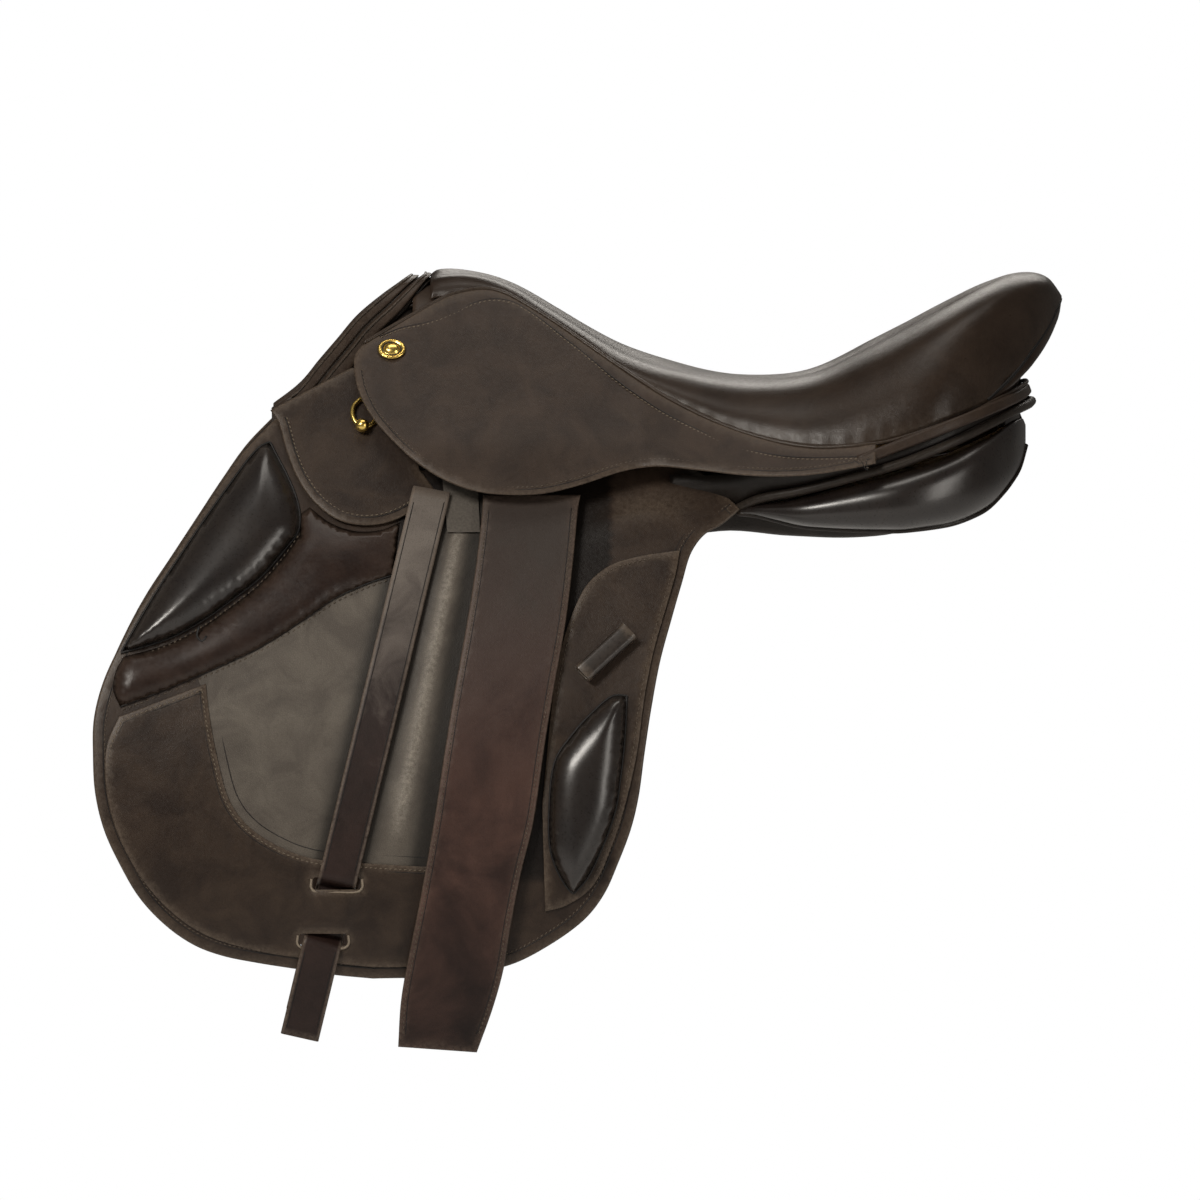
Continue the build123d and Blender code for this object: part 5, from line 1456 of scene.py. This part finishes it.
# ---- Metal ----
def lathed(profile, sides, squeeze=1.0):
    """A turned form from (radius, height) points, with its axis along the third coordinate."""
    rows = []
    a = np.linspace(0, 2 * math.pi, sides, endpoint=False)
    for r, h in profile:
        rows.append(np.stack([r * np.cos(a), r * squeeze * np.sin(a), np.full(sides, h)], 1))
    return grid_data(np.array(rows), close_columns=True, cap=True)


def on_plane(points, origin, lean):
    """Local points (rearwards, up, out) put on a plane in (x, w, z) that leans back by an angle."""
    p = np.asarray(points, float)
    u = np.array([1.0, 0, 0])
    v, n = np.array([0, -math.sin(lean), math.cos(lean)]), np.array([0, math.cos(lean), math.sin(lean)])
    return origin + p[:, :1] * u + p[:, 1:2] * v + p[:, 2:] * n


NAIL = [(8.8, 4.2), (9.4, 4.7), (9.5, 5.3), (9.0, 5.9), (8.2, 6.2), (7.3, 6.0), (6.6, 5.5), (6.0, 5.4), (5.4, 5.9),
    (4.6, 6.8), (3.4, 7.4), (1.8, 7.75), (0.4, 7.8)]
NAIL_SQUEEZE = 0.86


def make_nail():
    """Turned brass nail head: a dished and beaded rim, a groove and a raised button."""
    x, z = -168.0, 111.0
    origin = np.array([x, SKIRT_W + SKIRT_LEAN * (SKIRT_Z - z), z])
    lean = math.atan(SKIRT_LEAN)
    verts, faces = lathed(NAIL, 44, NAIL_SQUEEZE)
    for obj in both_sides("brass_nail", (on_plane(verts, origin, lean), faces), [BRASS], "brass"):
        if obj.name.endswith("left"):
            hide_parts("skirt_nails")
    a = np.linspace(0, 2 * math.pi, 41)
    ring = np.stack([6.3 * np.cos(a), 6.3 * NAIL_SQUEEZE * np.sin(a), np.full(41, 5.35)], 1)
    both_sides("nail_groove", tube_data(on_plane(ring, origin, lean), 0.55, 6, False), [CREASE], "brass")
    bead, faces = lathed([(0.75, 0), (0.62, 0.35), (0.3, 0.55)], 8)
    beads = []
    for b in (2 * math.pi * k / 20 for k in range(20)):
        at = [8.1 * math.cos(b), 8.1 * NAIL_SQUEEZE * math.sin(b), 6.0]
        beads.append((on_plane(bead + at, origin, lean), faces))
    both_sides("nail_beading", merged(beads), [BRASS], "brass")


DEE = [(-1.5, -3.8), (-8, -6.8), (-13.3, -12.5), (-14.3, -19), (-12.2, -25), (-7.8, -29.2), (-2, -27), (3, -20.5),
    (4.4, -12), (2.6, -5.5)]


def make_dees():
    """Round wire dee with an eye at its top and a bead at its foot."""
    x, z, h = -180.0, 87.0, 10.3
    origin = np.array([x, FOOT_W - z * math.tan(SLOPE) + h / math.cos(SLOPE), z])
    a = np.linspace(0, 2 * math.pi, 49)
    bow = spline(DEE, 1.2, closed=True)
    bow = np.concatenate([bow, bow[:1]])
    turned = [(4.7 * math.sin(t), 2.9 - 4.7 * math.cos(t)) for t in np.linspace(0.1, math.pi - 0.1, 15)]
    bead, faces = lathed(turned, 24)
    verts, faces = merged([
        tube_data(np.column_stack([bow, np.zeros(len(bow))]), 1.6, 12, False),
        tube_data(np.stack([3.8 * np.cos(a), 3.8 * np.sin(a), 0 * a], 1), 1.2, 10, False),
        (bead + [-7.75, -29.245, 0], faces),
    ])
    data = on_plane(verts, origin, SLOPE), faces
    for obj in both_sides("brass_dee", data, [BRASS], "brass", body="dee_ring_{}", nodes=("dee_ring",)):
        fix_normals(obj)


def finish_nodes():
    """Materials of the CAD parts that stay as they are."""
    kept = {
        WOOD: ["tree_head", "tree_rail", "tree_cantle"],
        STEEL: ["head_plate", "gullet_plate", "spring_strips", "stirrup_bar", "bar_catch", "catch_pins"],
        WEB: ["seat_webs", "cross_web"],
        TAB: ["girth_webs"],
        BRASS: ["dee_studs"],
    }
    for material, names in kept.items():
        for name in names:
            for node in (name, f"{name}_left", f"{name}_right"):
                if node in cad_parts:
                    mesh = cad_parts[node].data
                    for i in range(max(1, len(mesh.materials))):
                        if len(mesh.materials) <= i:
                            mesh.materials.append(material)
                        mesh.materials[i] = material


make_flap()
make_knee_patch()
make_calf_patch()
make_blocks()
make_under_skirt()
make_keepers()
make_front_straps()
make_rear_straps()
make_pommel()
make_front_panels()
make_rear_panels()
make_gussets()
make_gullet_lining()
make_panel_wall()
make_gullet_front()
make_nail()
make_dees()
finish_nodes()


# ---- Stage ----
def make_floor():
    """Plain pale floor, lit a little from itself so that it stays pale in the picture."""
    turns = np.linspace(0, 2 * math.pi, 96, endpoint=False)
    ring = [(FLOOR_RADIUS * math.cos(a), FLOOR_RADIUS * math.sin(a), FLOOR_Z) for a in turns]
    mesh = bpy.data.meshes.new("floor")
    mesh.from_pydata(ring, [], [tuple(range(len(ring)))])
    m, nodes, links, shader = principled("paper")
    shader.inputs["Base Color"].default_value = (0.9, 0.9, 0.9, 1)
    shader.inputs["Roughness"].default_value = 0.9
    shader.inputs["Specular IOR Level"].default_value = 0.1
    shader.inputs["Emission Color"].default_value = (1, 1, 1, 1)
    rays = nodes.new("ShaderNodeLightPath")
    glow = nodes.new("ShaderNodeMath")
    glow.operation = "MULTIPLY"
    glow.inputs[1].default_value = FLOOR_GLOW
    links.new(rays.outputs["Is Camera Ray"], glow.inputs[0])
    links.new(glow.outputs[0], shader.inputs["Emission Strength"])
    mesh.materials.append(m)
    obj = bpy.data.objects.new("floor", mesh)
    bpy.context.scene.collection.objects.link(obj)


def make_world():
    """White surroundings in the picture, and a weak warm light from all round."""
    world = bpy.data.worlds.new("studio")
    world.use_nodes = True
    nodes, links = world.node_tree.nodes, world.node_tree.links
    room = nodes["Background"]
    room.inputs["Color"].default_value = (*WARM, 1)
    room.inputs["Strength"].default_value = ROOM_LIGHT
    seen = nodes.new("ShaderNodeBackground")
    seen.inputs["Color"].default_value = (1, 1, 1, 1)
    seen.inputs["Strength"].default_value = 1.0
    rays = nodes.new("ShaderNodeLightPath")
    pick = nodes.new("ShaderNodeMixShader")
    links.new(rays.outputs["Is Camera Ray"], pick.inputs[0])
    links.new(room.outputs[0], pick.inputs[1])
    links.new(seen.outputs[0], pick.inputs[2])
    links.new(pick.outputs[0], nodes["World Output"].inputs["Surface"])
    bpy.context.scene.world = world


# name, place, aim, size, power
LIGHTS = (
    ("key", (-1.5, -2.3, 1.5), (-0.05, 0, -0.05), (0.9, 0.8), 52),
    ("fill", (2.0, -2.2, 0.3), (0.1, 0, -0.1), (0.7, 1.5), 16),
    ("top", (0.1, -0.3, 2.4), (0, 0, 0.1), (1.8, 0.7), 13),
    ("behind", (0.3, 2.0, 1.3), (0, 0, 0), (1.4, 0.8), 12),
)


def make_lights():
    """Soft studio lights."""
    for name, at, look, size, power in LIGHTS:
        data = bpy.data.lights.new(name, "AREA")
        data.shape = "RECTANGLE"
        data.size, data.size_y = size
        data.energy = power
        data.color = WARM
        lamp = bpy.data.objects.new(name, data)
        lamp.location = at
        lamp.rotation_euler = (Vector(look) - Vector(at)).to_track_quat("-Z", "Y").to_euler()
        bpy.context.scene.collection.objects.link(lamp)
    bpy.context.scene.view_settings.view_transform = "Standard"


make_floor()
make_world()
make_lights()
